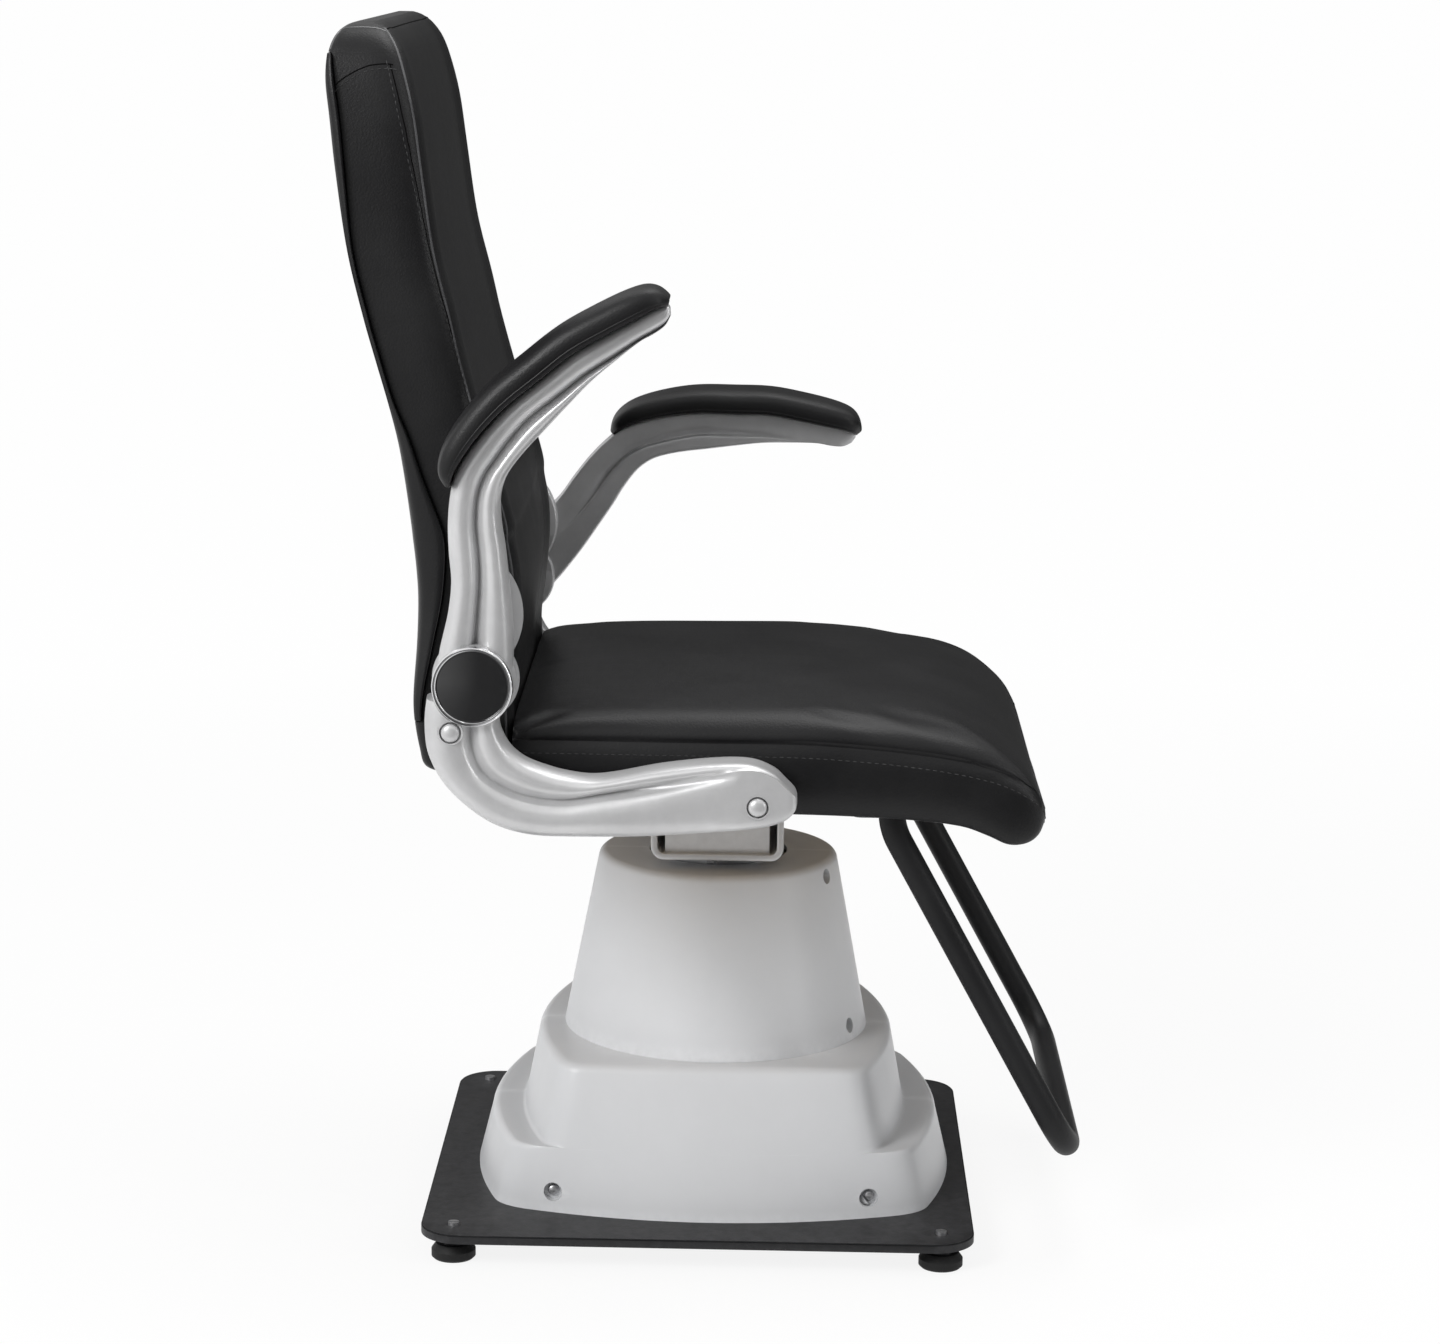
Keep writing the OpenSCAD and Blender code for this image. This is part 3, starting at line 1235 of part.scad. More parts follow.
base_plate();
base_cover_right();
base_cover_left();
base_cover_screws();
column_cover_right();
column_cover_left();
column_cover_screws();
cover_brackets();
guide_column();
flange_bolts();
guide_liner();
actuator_housing();
actuator_lug();
actuator_lower_pin();
control_box();
power_inlet();
foot_pad(1, -1);  // foot_pad_front_right
foot_pad(1, 1);  // foot_pad_front_left
foot_pad(-1, -1);  // foot_pad_rear_right
foot_pad(-1, 1);  // foot_pad_rear_left
foot_stud(1, -1);  // foot_stud_front_right
foot_stud(1, 1);  // foot_stud_front_left
foot_stud(-1, -1);  // foot_stud_rear_right
foot_stud(-1, 1);  // foot_stud_rear_left
lift_column();
slide_ring();
lift_head();
swivel_bearing();
thrust_washer();
actuator_rod();
actuator_upper_pin();
swivel_spindle();
spindle_fasteners();
swivel_bracket();
bracket_panels();
seat_plate();
seat_screws();
seat_board();
seat_cushion();
cross_bars();
footrest();
back_board();
back_cushion();
back_rear_cover();
arm_bracket_right();
arm_bracket_left();
bracket_spacers();
bracket_bolts();
pivot_pins();
hinge_cheek_right();
hinge_cheek_left();
arm_right();
arm_left();
arm_pad_right();
arm_pad_left();
pivot_ring_right();
pivot_ring_left();
pivot_cap_right();
pivot_cap_left();
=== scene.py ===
"""Looks of an ophthalmic examination chair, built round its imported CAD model.

Laid out as an add-on: sizes and colours are property groups, each piece or
group of like pieces is an operator, and main() calls them in order.
Everything is in metres in the CAD model's frame: +Z up, +X the way the
sitter faces, -Y the sitter's right, origin on the floor on the column's axis.
"""

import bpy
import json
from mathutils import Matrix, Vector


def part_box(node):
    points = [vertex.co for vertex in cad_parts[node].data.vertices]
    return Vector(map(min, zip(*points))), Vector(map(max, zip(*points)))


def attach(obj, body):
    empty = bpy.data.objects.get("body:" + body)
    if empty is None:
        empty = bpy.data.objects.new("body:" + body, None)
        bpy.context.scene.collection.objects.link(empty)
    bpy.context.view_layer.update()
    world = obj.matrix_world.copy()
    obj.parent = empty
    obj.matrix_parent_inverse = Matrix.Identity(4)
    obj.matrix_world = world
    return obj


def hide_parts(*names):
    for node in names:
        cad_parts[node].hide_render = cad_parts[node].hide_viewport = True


bl_info = {
    "name": "Examination chair",
    "version": (1, 0, 0),
    "blender": (4, 5, 0),
    "location": "3D View > Sidebar > Chair",
    "description": "Upholstery, castings, covers and studio of an examination chair",
    "category": "Add Mesh",
}

import json
import math

import bpy
import numpy as np
from bpy.props import FloatProperty, FloatVectorProperty, PointerProperty
from mathutils import Matrix, Vector
from mathutils.bvhtree import BVHTree

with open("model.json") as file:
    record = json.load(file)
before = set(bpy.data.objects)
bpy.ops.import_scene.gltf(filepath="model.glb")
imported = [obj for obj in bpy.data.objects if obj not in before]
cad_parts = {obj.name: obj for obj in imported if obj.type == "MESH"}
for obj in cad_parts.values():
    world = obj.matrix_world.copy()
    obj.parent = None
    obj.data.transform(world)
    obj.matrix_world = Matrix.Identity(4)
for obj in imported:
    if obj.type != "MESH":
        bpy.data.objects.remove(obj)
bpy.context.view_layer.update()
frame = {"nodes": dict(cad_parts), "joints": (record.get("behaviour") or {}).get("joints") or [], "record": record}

NODES = frame["nodes"]
JOINTS = {joint["name"]: joint for joint in frame["joints"]}
PIVOT = np.array(JOINTS["left_arm_flip"]["pos_m"])
SEAT_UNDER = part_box("seat_board")[0].z
PLATE_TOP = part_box("base_plate")[1].z
COVER_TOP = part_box("base_cover_left")[1].z
CONE_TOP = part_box("column_cover_left")[1].z
BRACKET_LOW, BRACKET_HIGH = (np.array(corner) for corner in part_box("swivel_bracket"))
MM = 0.001
SIDES = {"right": -1, "left": 1}

# The seat from rear to front: place along it, heights of its underside, seam
# and crown, and half width, as shares of its sizes
SEAT_ROWS = [
    [0.000, 0.06, 0.96, 0.60, 0.970], [0.008, 0.02, 0.985, 0.66, 0.984],
    [0.060, 0.00, 1.00, 0.78, 0.995], [0.200, 0.00, 1.00, 0.94, 1.000],
    [0.380, 0.00, 1.00, 1.00, 1.004], [0.540, 0.00, 1.00, 1.04, 1.004],
    [0.660, -0.02, 0.95, 1.06, 1.002], [0.760, -0.06, 0.88, 1.06, 0.998],
    [0.840, -0.13, 0.79, 1.00, 0.992], [0.890, -0.26, 0.70, 0.90, 0.984],
    [0.930, -0.39, 0.59, 0.70, 0.974], [0.965, -0.38, 0.44, 0.50, 0.958],
    [0.988, -0.27, 0.28, 0.28, 0.935], [1.000, -0.08, 0.08, 0.10, 0.900]]
# Half a section of the seat below its seam, and above it
SEAT_SIDE = [[0.955, 0.00], [0.974, 0.04], [0.992, 0.18], [1.000, 0.45],
             [0.999, 0.80], [0.978, 1.00]]
SEAT_TOP = [[0.978, 0.00], [0.990, 0.16], [0.972, 0.48], [0.930, 0.74],
            [0.850, 0.90], [0.680, 0.96], [0.350, 0.99], [0.00, 1.00]]
# The back from its lower edge up: height, place of its rear face, depth of
# its rear cover and of the whole, and half width, as shares
BACK_ROWS = [
    [0.000, -0.092, 0.000, 0.074, 0.900], [0.012, -0.117, 0.000, 0.113, 0.945],
    [0.038, -0.124, 0.008, 0.1245, 0.972], [0.076, -0.130, 0.011, 0.1305, 0.988],
    [0.115, -0.132, 0.015, 0.132, 0.996], [0.186, -0.128, 0.025, 0.136, 1.000],
    [0.242, -0.127, 0.035, 0.138, 1.003], [0.285, -0.130, 0.042, 0.138, 1.005],
    [0.318, -0.134, 0.046, 0.136, 1.005], [0.344, -0.137, 0.043, 0.137, 1.005],
    [0.403, -0.145, 0.028, 0.128, 1.003], [0.456, -0.154, 0.019, 0.120, 1.002],
    [0.506, -0.165, 0.009, 0.116, 1.000], [0.561, -0.181, 0.008, 0.117, 0.998],
    [0.617, -0.197, 0.008, 0.120, 0.995], [0.700, -0.217, 0.008, 0.119, 0.990],
    [0.800, -0.233, 0.014, 0.120, 0.985], [0.870, -0.241, 0.015, 0.118, 0.978],
    [0.917, -0.246, 0.013, 0.112, 0.965], [0.953, -0.243, 0.006, 0.097, 0.935],
    [0.975, -0.235, 0.000, 0.075, 0.890], [0.987, -0.222, 0.000, 0.048, 0.830],
    [0.992, -0.208, 0.000, 0.022, 0.760]]
# First and last row of the back that its rear panel covers, and that its board
# lies behind
BACK_COVER = (3, 19)
BACK_BOARD = (4, 16)
# Half the front of a section of the back: shares of half width and depth
BACK_FRONT = [[0.00, 0.985], [0.40, 0.978], [0.68, 0.955], [0.76, 0.965],
              [0.86, 1.000], [0.94, 0.965], [0.985, 0.84], [0.998, 0.66],
              [1.000, 0.46]]
# An armrest bracket from its hub to its front bolt: outer edge, inner edge
# and place of the fold between them, as shares
HOOK_ROWS = [
    [-0.146, -0.10, 0.082, -0.17, 0.62], [-0.153, -0.27, 0.078, -0.28, 0.62],
    [-0.142, -0.46, 0.107, -0.41, 0.56], [-0.096, -0.65, 0.153, -0.495, 0.50],
    [-0.021, -0.81, 0.210, -0.545, 0.50], [0.068, -0.93, 0.281, -0.585, 0.55],
    [0.174, -0.99, 0.359, -0.605, 0.62], [0.310, -1.00, 0.438, -0.588, 0.70],
    [0.523, -0.99, 0.584, -0.525, 0.74], [0.737, -0.955, 0.744, -0.485, 0.84],
    [0.851, -0.93, 0.851, -0.485, 0.92], [0.922, -0.90, 0.922, -0.54, 0.94],
    [0.966, -0.855, 0.963, -0.62, 0.94], [0.989, -0.80, 0.989, -0.68, 0.94],
    [0.997, -0.755, 0.997, -0.725, 0.94]]
# An armrest raised 40 degrees, from its pivot to its tip: rear edge, front
# edge and place of the fold, as shares, then the thickness it keeps
ARM_ROWS = [
    [-0.19, 0.03, 0.20, 0.03, 0.49, 1.00], [-0.182, 0.085, 0.203, 0.097, 0.49, 1.00],
    [-0.139, 0.182, 0.194, 0.191, 0.47, 1.00], [-0.121, 0.267, 0.176, 0.279, 0.50, 0.98],
    [-0.133, 0.342, 0.158, 0.358, 0.53, 0.96], [-0.139, 0.415, 0.139, 0.418, 0.53, 0.94],
    [-0.130, 0.485, 0.133, 0.485, 0.55, 0.93], [-0.103, 0.548, 0.158, 0.536, 0.58, 0.92],
    [-0.036, 0.609, 0.206, 0.576, 0.60, 0.91], [0.061, 0.673, 0.279, 0.621, 0.58, 0.90],
    [0.188, 0.739, 0.364, 0.667, 0.56, 0.90], [0.352, 0.806, 0.479, 0.730, 0.64, 0.88],
    [0.509, 0.870, 0.600, 0.794, 0.74, 0.86], [0.673, 0.918, 0.739, 0.855, 0.86, 0.82],
    [0.830, 0.961, 0.848, 0.900, 0.94, 0.76], [0.921, 0.985, 0.921, 0.921, 0.94, 0.68],
    [0.982, 0.994, 0.976, 0.942, 0.94, 0.56], [1.000, 0.988, 1.003, 0.967, 0.94, 0.42]]
# An armrest pad: place along the armrest, thickness and half width
PAD_ROWS = [
    [6.5, 0.16, 0.46], [6.9, 0.50, 0.76], [7.4, 0.72, 0.90], [8, 0.84, 0.97],
    [9, 0.92, 1.00], [10, 0.98, 1.00], [11, 1.00, 1.00], [12, 1.00, 1.00],
    [13, 1.00, 0.99], [14, 0.96, 0.96], [15, 0.84, 0.86], [15.7, 0.60, 0.70],
    [16.2, 0.30, 0.46]]
PAD_SIDE = [[0.00, 0.02], [0.62, 0.02], [0.90, 0.04], [0.985, 0.20], [1.0, 0.42],
            [0.96, 0.66], [0.84, 0.86], [0.55, 0.97], [0.00, 1.00]]
# The bright ring round a pivot: millimetres inside the hub's radius, and above
# its face
RING_PROFILE = [[4.0, 0.0], [0.2, 0.0], [0.0, 0.2], [0.0, 3.2], [0.4, 4.4], [1.0, 4.9],
                [1.6, 4.7], [2.0, 3.6], [2.4, 3.5], [2.8, 4.2], [3.3, 4.3], [3.8, 3.8],
                [4.0, 2.8]]
# The black cap in it: shares of its radius, and millimetres above the face
CAP_PROFILE = [[0.0, 0.0], [1.0, 0.0], [1.0, 2.8], [0.98058, 3.3], [0.7, 4.0],
               [0.35, 4.5], [0.0, 4.75]]
# A bracket's bolts: the front one from the column's axis and the seat's
# underside, the rear one from the pivot
FRONT_BOLT = (0.037, 0.0211)
REAR_BOLT = (-0.019, -0.041)
# The base cover's half width at its top, its bow and the bow's share at the
# top, and the bow of its ends, as shares of its half sizes
COVER_TOP_WIDTH, COVER_BOW, COVER_TOP_BOW, COVER_END_BOW = 0.782, 0.25, 0.12, 0.135
# The hole for the power inlet: half its width, its middle above the plate, how
# far it reaches along Y and half its height
HATCH = (0.025, 0.032, (0.05, 0.25), 0.015)
# Half lengths of the base cover where its lower tier ends and at its top, and
# the draft of its upper tier
TIER_LENGTH, TOP_LENGTH, TIER_DRAFT = 0.945, 0.748, 0.21
# Heights of the column cover's screws above its foot, and the turn of the
# screws of each half, in degrees
CONE_SCREWS = (0.014, 0.154)
CONE_SCREW_TURN = {"right": -26, "left": 154}
# Seams on the side of the back as (x, z) in millimetres: across its upper end
# and down beside the front panel
GUSSET_SEAM = [(-333, 1048), (-322, 1057), (-303, 1067), (-275, 1071)]
PANEL_SEAM = [(-281, 1071), (-277, 1047), (-270, 1015), (-260, 975), (-247, 925),
              (-229, 862), (-203, 790), (-178, 700), (-170, 640)]
# Pressure of the filling while it settles, and the point of a pad's section
# that its welt runs through
PRESSURE = {"seat": 4.0, "back": 3.0, "pad": 4.0}
PAD_LINE = 11
# Places of the seams along the back's rows: the piping, the welt over the top
# and the seam across it
PIPING_RUN, TOP_RUN, ACROSS = (1.5, 20.6), (19.1, 20.5), 20.6
# Rings at the seat's rear end and the back's lower edge that the filling
# leaves where they are
HELD_RINGS = 4
# Fixed small sizes in metres
BOARD_IN = 0.014  # from the seat's rear and sides to its board
BOARD_SHORT = 0.090  # from the seat's front to its board
BACK_BOARD_IN = 0.030  # from the back's sides to its board
BACK_EDGE = 0.009  # radius of the back's rear edges
TUCK = 0.0011  # radius of the fold beside the rear panel
PANEL_EDGE = 0.014  # radius of the rear panel's edges
PAD_PUFF = 0.0016  # the most that the filling may lift a pad's leather
PIPING_R = 0.0018  # radius of the piping down the back's front
WELT_R = 0.0011  # radius of the welt over the back's top
GUSSET_R = 0.0008  # radius of the seam at a side's upper end
PANEL_R = 0.0007  # radius of the seam beside the front panel
FOLD_R = 0.0009  # radius of the fold across the back and round a pad
SEAM_TO_STITCH = 0.005  # from a seam to its row of stitches
SEAT_STITCH = 0.012  # from the seat's seam down to its row of stitches
BOLT_GAP = 0.0015  # gap round a bracket bolt's head
BOLT_SUNK = 0.006  # depth of a bracket bolt's recess
BOLT_RISE = 0.0042  # rise of a bracket bolt's dome
BOLT_RIM = 0.0004  # from the dome's foot up to the bracket's face
BOLT_WALL = 0.0014  # wall of the boss round a bolt's recess
SHANK_R = 0.004  # radius of a bracket bolt's shank
SHANK_L = 0.060  # length of a bracket bolt's shank
SHANK_BORE = 0.0042  # radius of the bore for it
PIN_BORE = 0.0082  # radius of the bore for a pivot pin
FIT = 0.0002  # play between an armrest's hub and its bracket's
WELL_R = 0.015  # radius of the well round a pin's head
WELL_D = 0.008  # depth of the well round a pin's head
TUBE_IN = 0.002  # how far the footrest's ends stop below the seat
CHEEK_IN = 0.0003  # from a hinge cheek to its bracket's inner face
CHEEK_T = 0.006  # thickness of a hinge cheek
CHEEK_LAP = 0.003  # how far a cheek stands out round its hub
BOX_CORNER = 0.012  # radius of the bracket tube's corners
BOX_RIM = 0.0012  # radius of the bracket tube's rims
FOOT_PLATE_T = 0.0039  # thickness of the plates on the footrest
PLATE_EDGE = 0.0006  # easing of the edges of the plates on the footrest
SCREW_HEAD = 0.0052  # radius of a cover screw's head
SCREW_RIM = 0.0012  # height of a screw head's straight rim
SCREW_RISE = 0.0030  # rise of a screw head's dome
SCREW_SHANK = 0.0024  # radius of a screw's shank
SCREW_L = 0.016  # length of a screw's shank
SCREW_SUNK = 0.0035  # how far a screw's seat is sunk
SCREW_BORE = 0.00275  # radius of a screw's bore
BOSS_D = 0.013  # how deep a screw's boss reaches
RECESS_D = 0.009  # depth of a screw's recess
BOSS_R = 0.011  # radius of a boss in the base cover
RECESS_R = 0.0085  # radius of a recess in the base cover
CONE_BOSS_R = 0.009  # radius of a boss in the column cover
CONE_RECESS_R = 0.007  # radius of a recess in the column cover
COVER_LAP = 0.008  # how far the base cover runs under the cone
CONE_BOSS_IN = 0.003  # from the column cover's face in to its bosses
RECESS_OUT = 0.02  # how far the cut of a recess runs out of the column cover
CAP_IN = 0.0041  # from the hub's radius in to its black cap
CLEAR = 0.0001  # gap between two pieces that rest on each other
SLIVER = 0.00001  # from a boss to the face it would share with its casting
OVERRUN = 0.03  # how far a cut runs past the piece it goes through
HALF_GAP = 0.00005  # half the gap between the two base covers
# How far down each armrest is turned from the raised place it is drawn in
DRAWN_AT = {"right": 0.0, "left": 40.0}


def length(name, text, value):
    """A length property in metres."""
    return FloatProperty(name=name, description=text, default=value, unit="LENGTH",
                         precision=4, min=0.0)


def colour(name, text, value):
    """A colour property in linear RGB."""
    return FloatVectorProperty(name=name, description=text, default=value, size=3,
                               subtype="COLOR", min=0.0, max=1.0)


class ChairUpholstery(bpy.types.PropertyGroup):
    """Sizes and colours of the seat, the back and the armrest pads"""
    seat_w: length("Seat width", "Width of the seat cushion", 0.490)
    seat_front: length("Seat front", "Reach of the seat ahead of the column", 0.291)
    seat_rear: length("Seat rear", "Reach of the seat behind the column", 0.179)
    seat_side_h: length("Seat side", "Height of the seat's side up to its seam", 0.064)
    seat_crown_h: length("Seat crown", "Height of the crown above the seam", 0.027)
    board_t: length("Board", "Thickness of the seat board and the back board", 0.010)
    back_w: length("Back width", "Width of the back", 0.470)
    back_h: length("Back height", "Height of the back", 0.660)
    back_ahead: length("Back place", "How far the back starts ahead of the pivots", 0.029)
    back_down: length("Back drop", "How far its lower edge is below the pivots", 0.097)
    pad_w: length("Pad width", "Width of an armrest pad", 0.076)
    pad_t: length("Pad thickness", "Thickness of an armrest pad", 0.025)
    gap: length("Gap", "Play between a cushion and the piece it meets", 0.0003)
    stitch: length("Stitch", "Length of one stitch", 0.0042)
    pitch: length("Stitch pitch", "Distance from one stitch to the next", 0.0064)
    thread_r: length("Thread radius", "Radius of the sewing thread", 0.00050)
    puff: length("Puff", "The most that the filling may lift the leather", 0.0022)
    leather: colour("Leather", "Colour of the leatherette", (0.0072, 0.0071, 0.0077))
    rubbed: colour("Rubbed leather", "Colour where the leatherette is rubbed",
                   (0.013, 0.013, 0.0135))
    thread: colour("Thread", "Colour of the sewing thread", (0.012, 0.012, 0.0125))


class ChairMetalwork(bpy.types.PropertyGroup):
    """Sizes and colours of the armrests, brackets, footrest and floor plate"""
    arm_reach: length("Arm reach", "Reach of a raised armrest from its pivot", 0.165)
    arm_rise: length("Arm rise", "Height of a raised armrest above its pivot", 0.330)
    arm_inner: length("Arm inner face", "From the middle to an armrest", 0.262)
    arm_t: length("Arm thickness", "Thickness of an armrest and its bracket", 0.038)
    hub_r: length("Hub radius", "Radius of an armrest's hub", 0.035)
    hook_l: length("Bracket length", "Length of an armrest bracket", 0.281)
    hook_d: length("Bracket depth", "Depth of an armrest bracket", 0.134)
    bolt_r: length("Bolt recess", "Radius of the recess of a bracket bolt", 0.0095)
    tube_d: length("Footrest tube", "Diameter of the footrest's tube", 0.024)
    tube_span: length("Footrest width", "Distance between the side tubes", 0.400)
    tube_top: length("Footrest top", "Where the side tubes meet the seat", 0.156)
    bar_z: length("Footrest height", "Height of the footrest's lower bar", 0.100)
    bar_reach: length("Footrest reach", "Reach of the bar from the tube tops", 0.168)
    tube_bend: length("Footrest bend", "Radius of the upper bends", 0.060)
    tube_corner: length("Footrest corner", "Radius of the lower corners", 0.045)
    wall: length("Tube wall", "Wall of the bracket tube", 0.006)
    silver: colour("Silver", "Colour of the cast armrests", (0.60, 0.60, 0.605))
    silver_dark: colour("Silver shade", "Colour of the castings' dull patches",
                        (0.50, 0.50, 0.505))
    black: colour("Black coat", "Colour of the powder coat", (0.0090, 0.0090, 0.0096))
    chrome: colour("Chrome", "Colour of the polished steel", (0.80, 0.80, 0.81))
    steel: colour("Steel", "Colour of screws and bolts", (0.50, 0.50, 0.51))
    bronze: colour("Bronze", "Colour of the thrust washer", (0.45, 0.31, 0.13))


class ChairCovers(bpy.types.PropertyGroup):
    """Sizes and colours of the plastic covers and the small plastic pieces"""
    cover_x: length("Cover half length", "Half the base cover's length", 0.223)
    cover_y: length("Cover half width", "Half the base cover's width", 0.202)
    tier_h: length("Lower tier", "Height of the cover's lower tier", 0.058)
    wall: length("Wall", "Wall of the covers", 0.004)
    edge_r: length("Edge", "Radius of the covers' rounded edges", 0.008)
    cone_foot: length("Column cover foot", "Radius of its foot", 0.143)
    cone_top: length("Column cover top", "Radius of its top", 0.111)
    cone_hole: length("Column cover hole", "Radius of the hole in its top", 0.065)
    screw_span: length("Screw span", "Distance between a half's two screws", 0.288)
    screw_up: length("Screw height", "Height of the screws above the plate", 0.018)
    plastic: colour("Cover", "Colour of the moulded covers", (0.605, 0.611, 0.624))
    cap: colour("Cap", "Colour of the glossy pivot caps", (0.012, 0.012, 0.0125))
    box: colour("Inlet", "Colour of the inlet and the box", (0.03, 0.03, 0.032))
    wear: colour("Slide rings", "Colour of the slide rings", (0.68, 0.66, 0.58))
    rubber: colour("Rubber", "Colour of the levelling feet", (0.007, 0.007, 0.007))
    wood: colour("Plywood", "Colour of the seat and back boards", (0.53, 0.52, 0.505))
    wood_dark: colour("Plywood grain", "Colour of the boards' grain", (0.42, 0.41, 0.395))


class ChairStudio(bpy.types.PropertyGroup):
    """Camera, lights and floor"""
    lens: FloatProperty(name="Lens", description="Focal length in millimetres",
                        default=95.215, unit="CAMERA")
    azimuth: FloatProperty(name="Azimuth", description="Turn of the camera from the side",
                           default=math.radians(0.730), subtype="ANGLE")
    tilt: FloatProperty(name="Tilt", description="How far the camera looks down",
                        default=math.radians(11.200), subtype="ANGLE")
    roll: FloatProperty(name="Roll", description="Turn of the camera about its view",
                        default=math.radians(0.868), subtype="ANGLE")
    eye: FloatVectorProperty(name="Eye", description="Place of the camera", size=3,
                             default=(0.0436, -3.4926, 1.1909), subtype="TRANSLATION")
    key: FloatProperty(name="Key light", description="Power of the key light in watts",
                       default=84.0)
    rim: FloatProperty(name="Rim light", description="Power of the rim light in watts",
                       default=15.0)
    top: FloatProperty(name="Top light", description="Power of the top light in watts",
                       default=34.0)
    sky: FloatProperty(name="Sky", description="Strength of the light from all round",
                       default=0.38)
    card: FloatProperty(name="Card", description="Tone of the grey reflection cards",
                        default=0.09)
    floor: colour("Floor", "Colour of the floor", (0.97, 0.97, 0.97))
    floor_reach: length("Floor reach", "How far the floor reaches each way", 150.0)
    near_floor: length("Near floor", "Where the floor starts to grow whiter", 0.7)
    far_floor: length("Far floor", "Where it is whitest", 2.6)
    near_glow: FloatProperty(name="Near glow", description="Glow of the near floor",
                             default=0.87)
    far_glow: FloatProperty(name="Far glow", description="Glow of the far floor",
                            default=0.985)


GROUPS = {"upholstery": ChairUpholstery, "metalwork": ChairMetalwork,
          "covers": ChairCovers, "studio": ChairStudio}


def settings(part):
    """One of the property groups above."""
    return getattr(bpy.context.scene, "chair_" + part)


# Curves and surfaces, worked out as whole arrays

def along(rows, u):
    """Points at places u of a smooth curve through rows. Between rows b and c,
    with neighbours a and d, the point at share t is
    0.5 (2b + (c-a) t + (2a-5b+4c-d) t^2 + (3b-a-3c+d) t^3)."""
    p, u = np.asarray(rows, float), np.asarray(u, float)
    last = len(p) - 1
    i = np.clip(np.floor(u).astype(int), 0, last - 1)
    t = (u - i)[:, None]
    a, b, c, d = p[np.maximum(i - 1, 0)], p[i], p[i + 1], p[np.minimum(i + 2, last)]
    return 0.5 * (2 * b + (c - a) * t + (2 * a - 5 * b + 4 * c - d) * t ** 2
                  + (3 * b - a - 3 * c + d) * t ** 3)


def ring_curves(rings, steps):
    """Closed rings of points made smooth by the same rule, with a number of
    steps from each point to the next."""
    a, b, c, d = (np.roll(rings, k, axis=1)[:, :, None] for k in (1, 0, -1, -2))
    t = (np.arange(steps) / steps)[None, None, :, None]
    fine = 0.5 * (2 * b + (c - a) * t + (2 * a - 5 * b + 4 * c - d) * t ** 2
                  + (3 * b - a - 3 * c + d) * t ** 3)
    return fine.reshape(len(rings), -1, rings.shape[2])


def runs(*parts):
    """Even places over several stretches (start, end, count), without repeats."""
    return np.unique(np.concatenate([np.linspace(*part) for part in parts]).round(7))


def mix(a, b, t):
    """The value at share t of the way from a to b."""
    return a + (b - a) * t


def unit(v):
    """Vectors divided by their lengths."""
    return v / np.maximum(np.linalg.norm(v, axis=-1, keepdims=True), 1e-12)


def resample(path, step):
    """Points at even distances of about step along a path of straight pieces."""
    run = np.concatenate([[0], np.cumsum(np.linalg.norm(np.diff(path, axis=0), axis=1))])
    places = np.linspace(0, run[-1], max(2, int(round(run[-1] / step)) + 1))
    return np.stack([np.interp(places, run, axis) for axis in path.T], axis=1)


def whole_rings(half):
    """Closed rings from half sections that start and end on the middle plane:
    the half, then its mirror image backwards without the two middle points."""
    return np.concatenate([half, (half * [1, -1, 1])[:, -2:0:-1]], axis=1)


def grid_quads(m, n, wrap_m=False, wrap_n=True):
    """Quads of a grid of m rows of n points, joined at its ends where asked."""
    i = np.arange(m if wrap_m else m - 1)[:, None]
    j = np.arange(n if wrap_n else n - 1)[None, :]
    a, b = i * n + j, i * n + (j + 1) % n
    c, d = ((i + 1) % m) * n + (j + 1) % n, ((i + 1) % m) * n + j
    return np.stack([a, b, c, d], axis=-1).reshape(-1, 4)


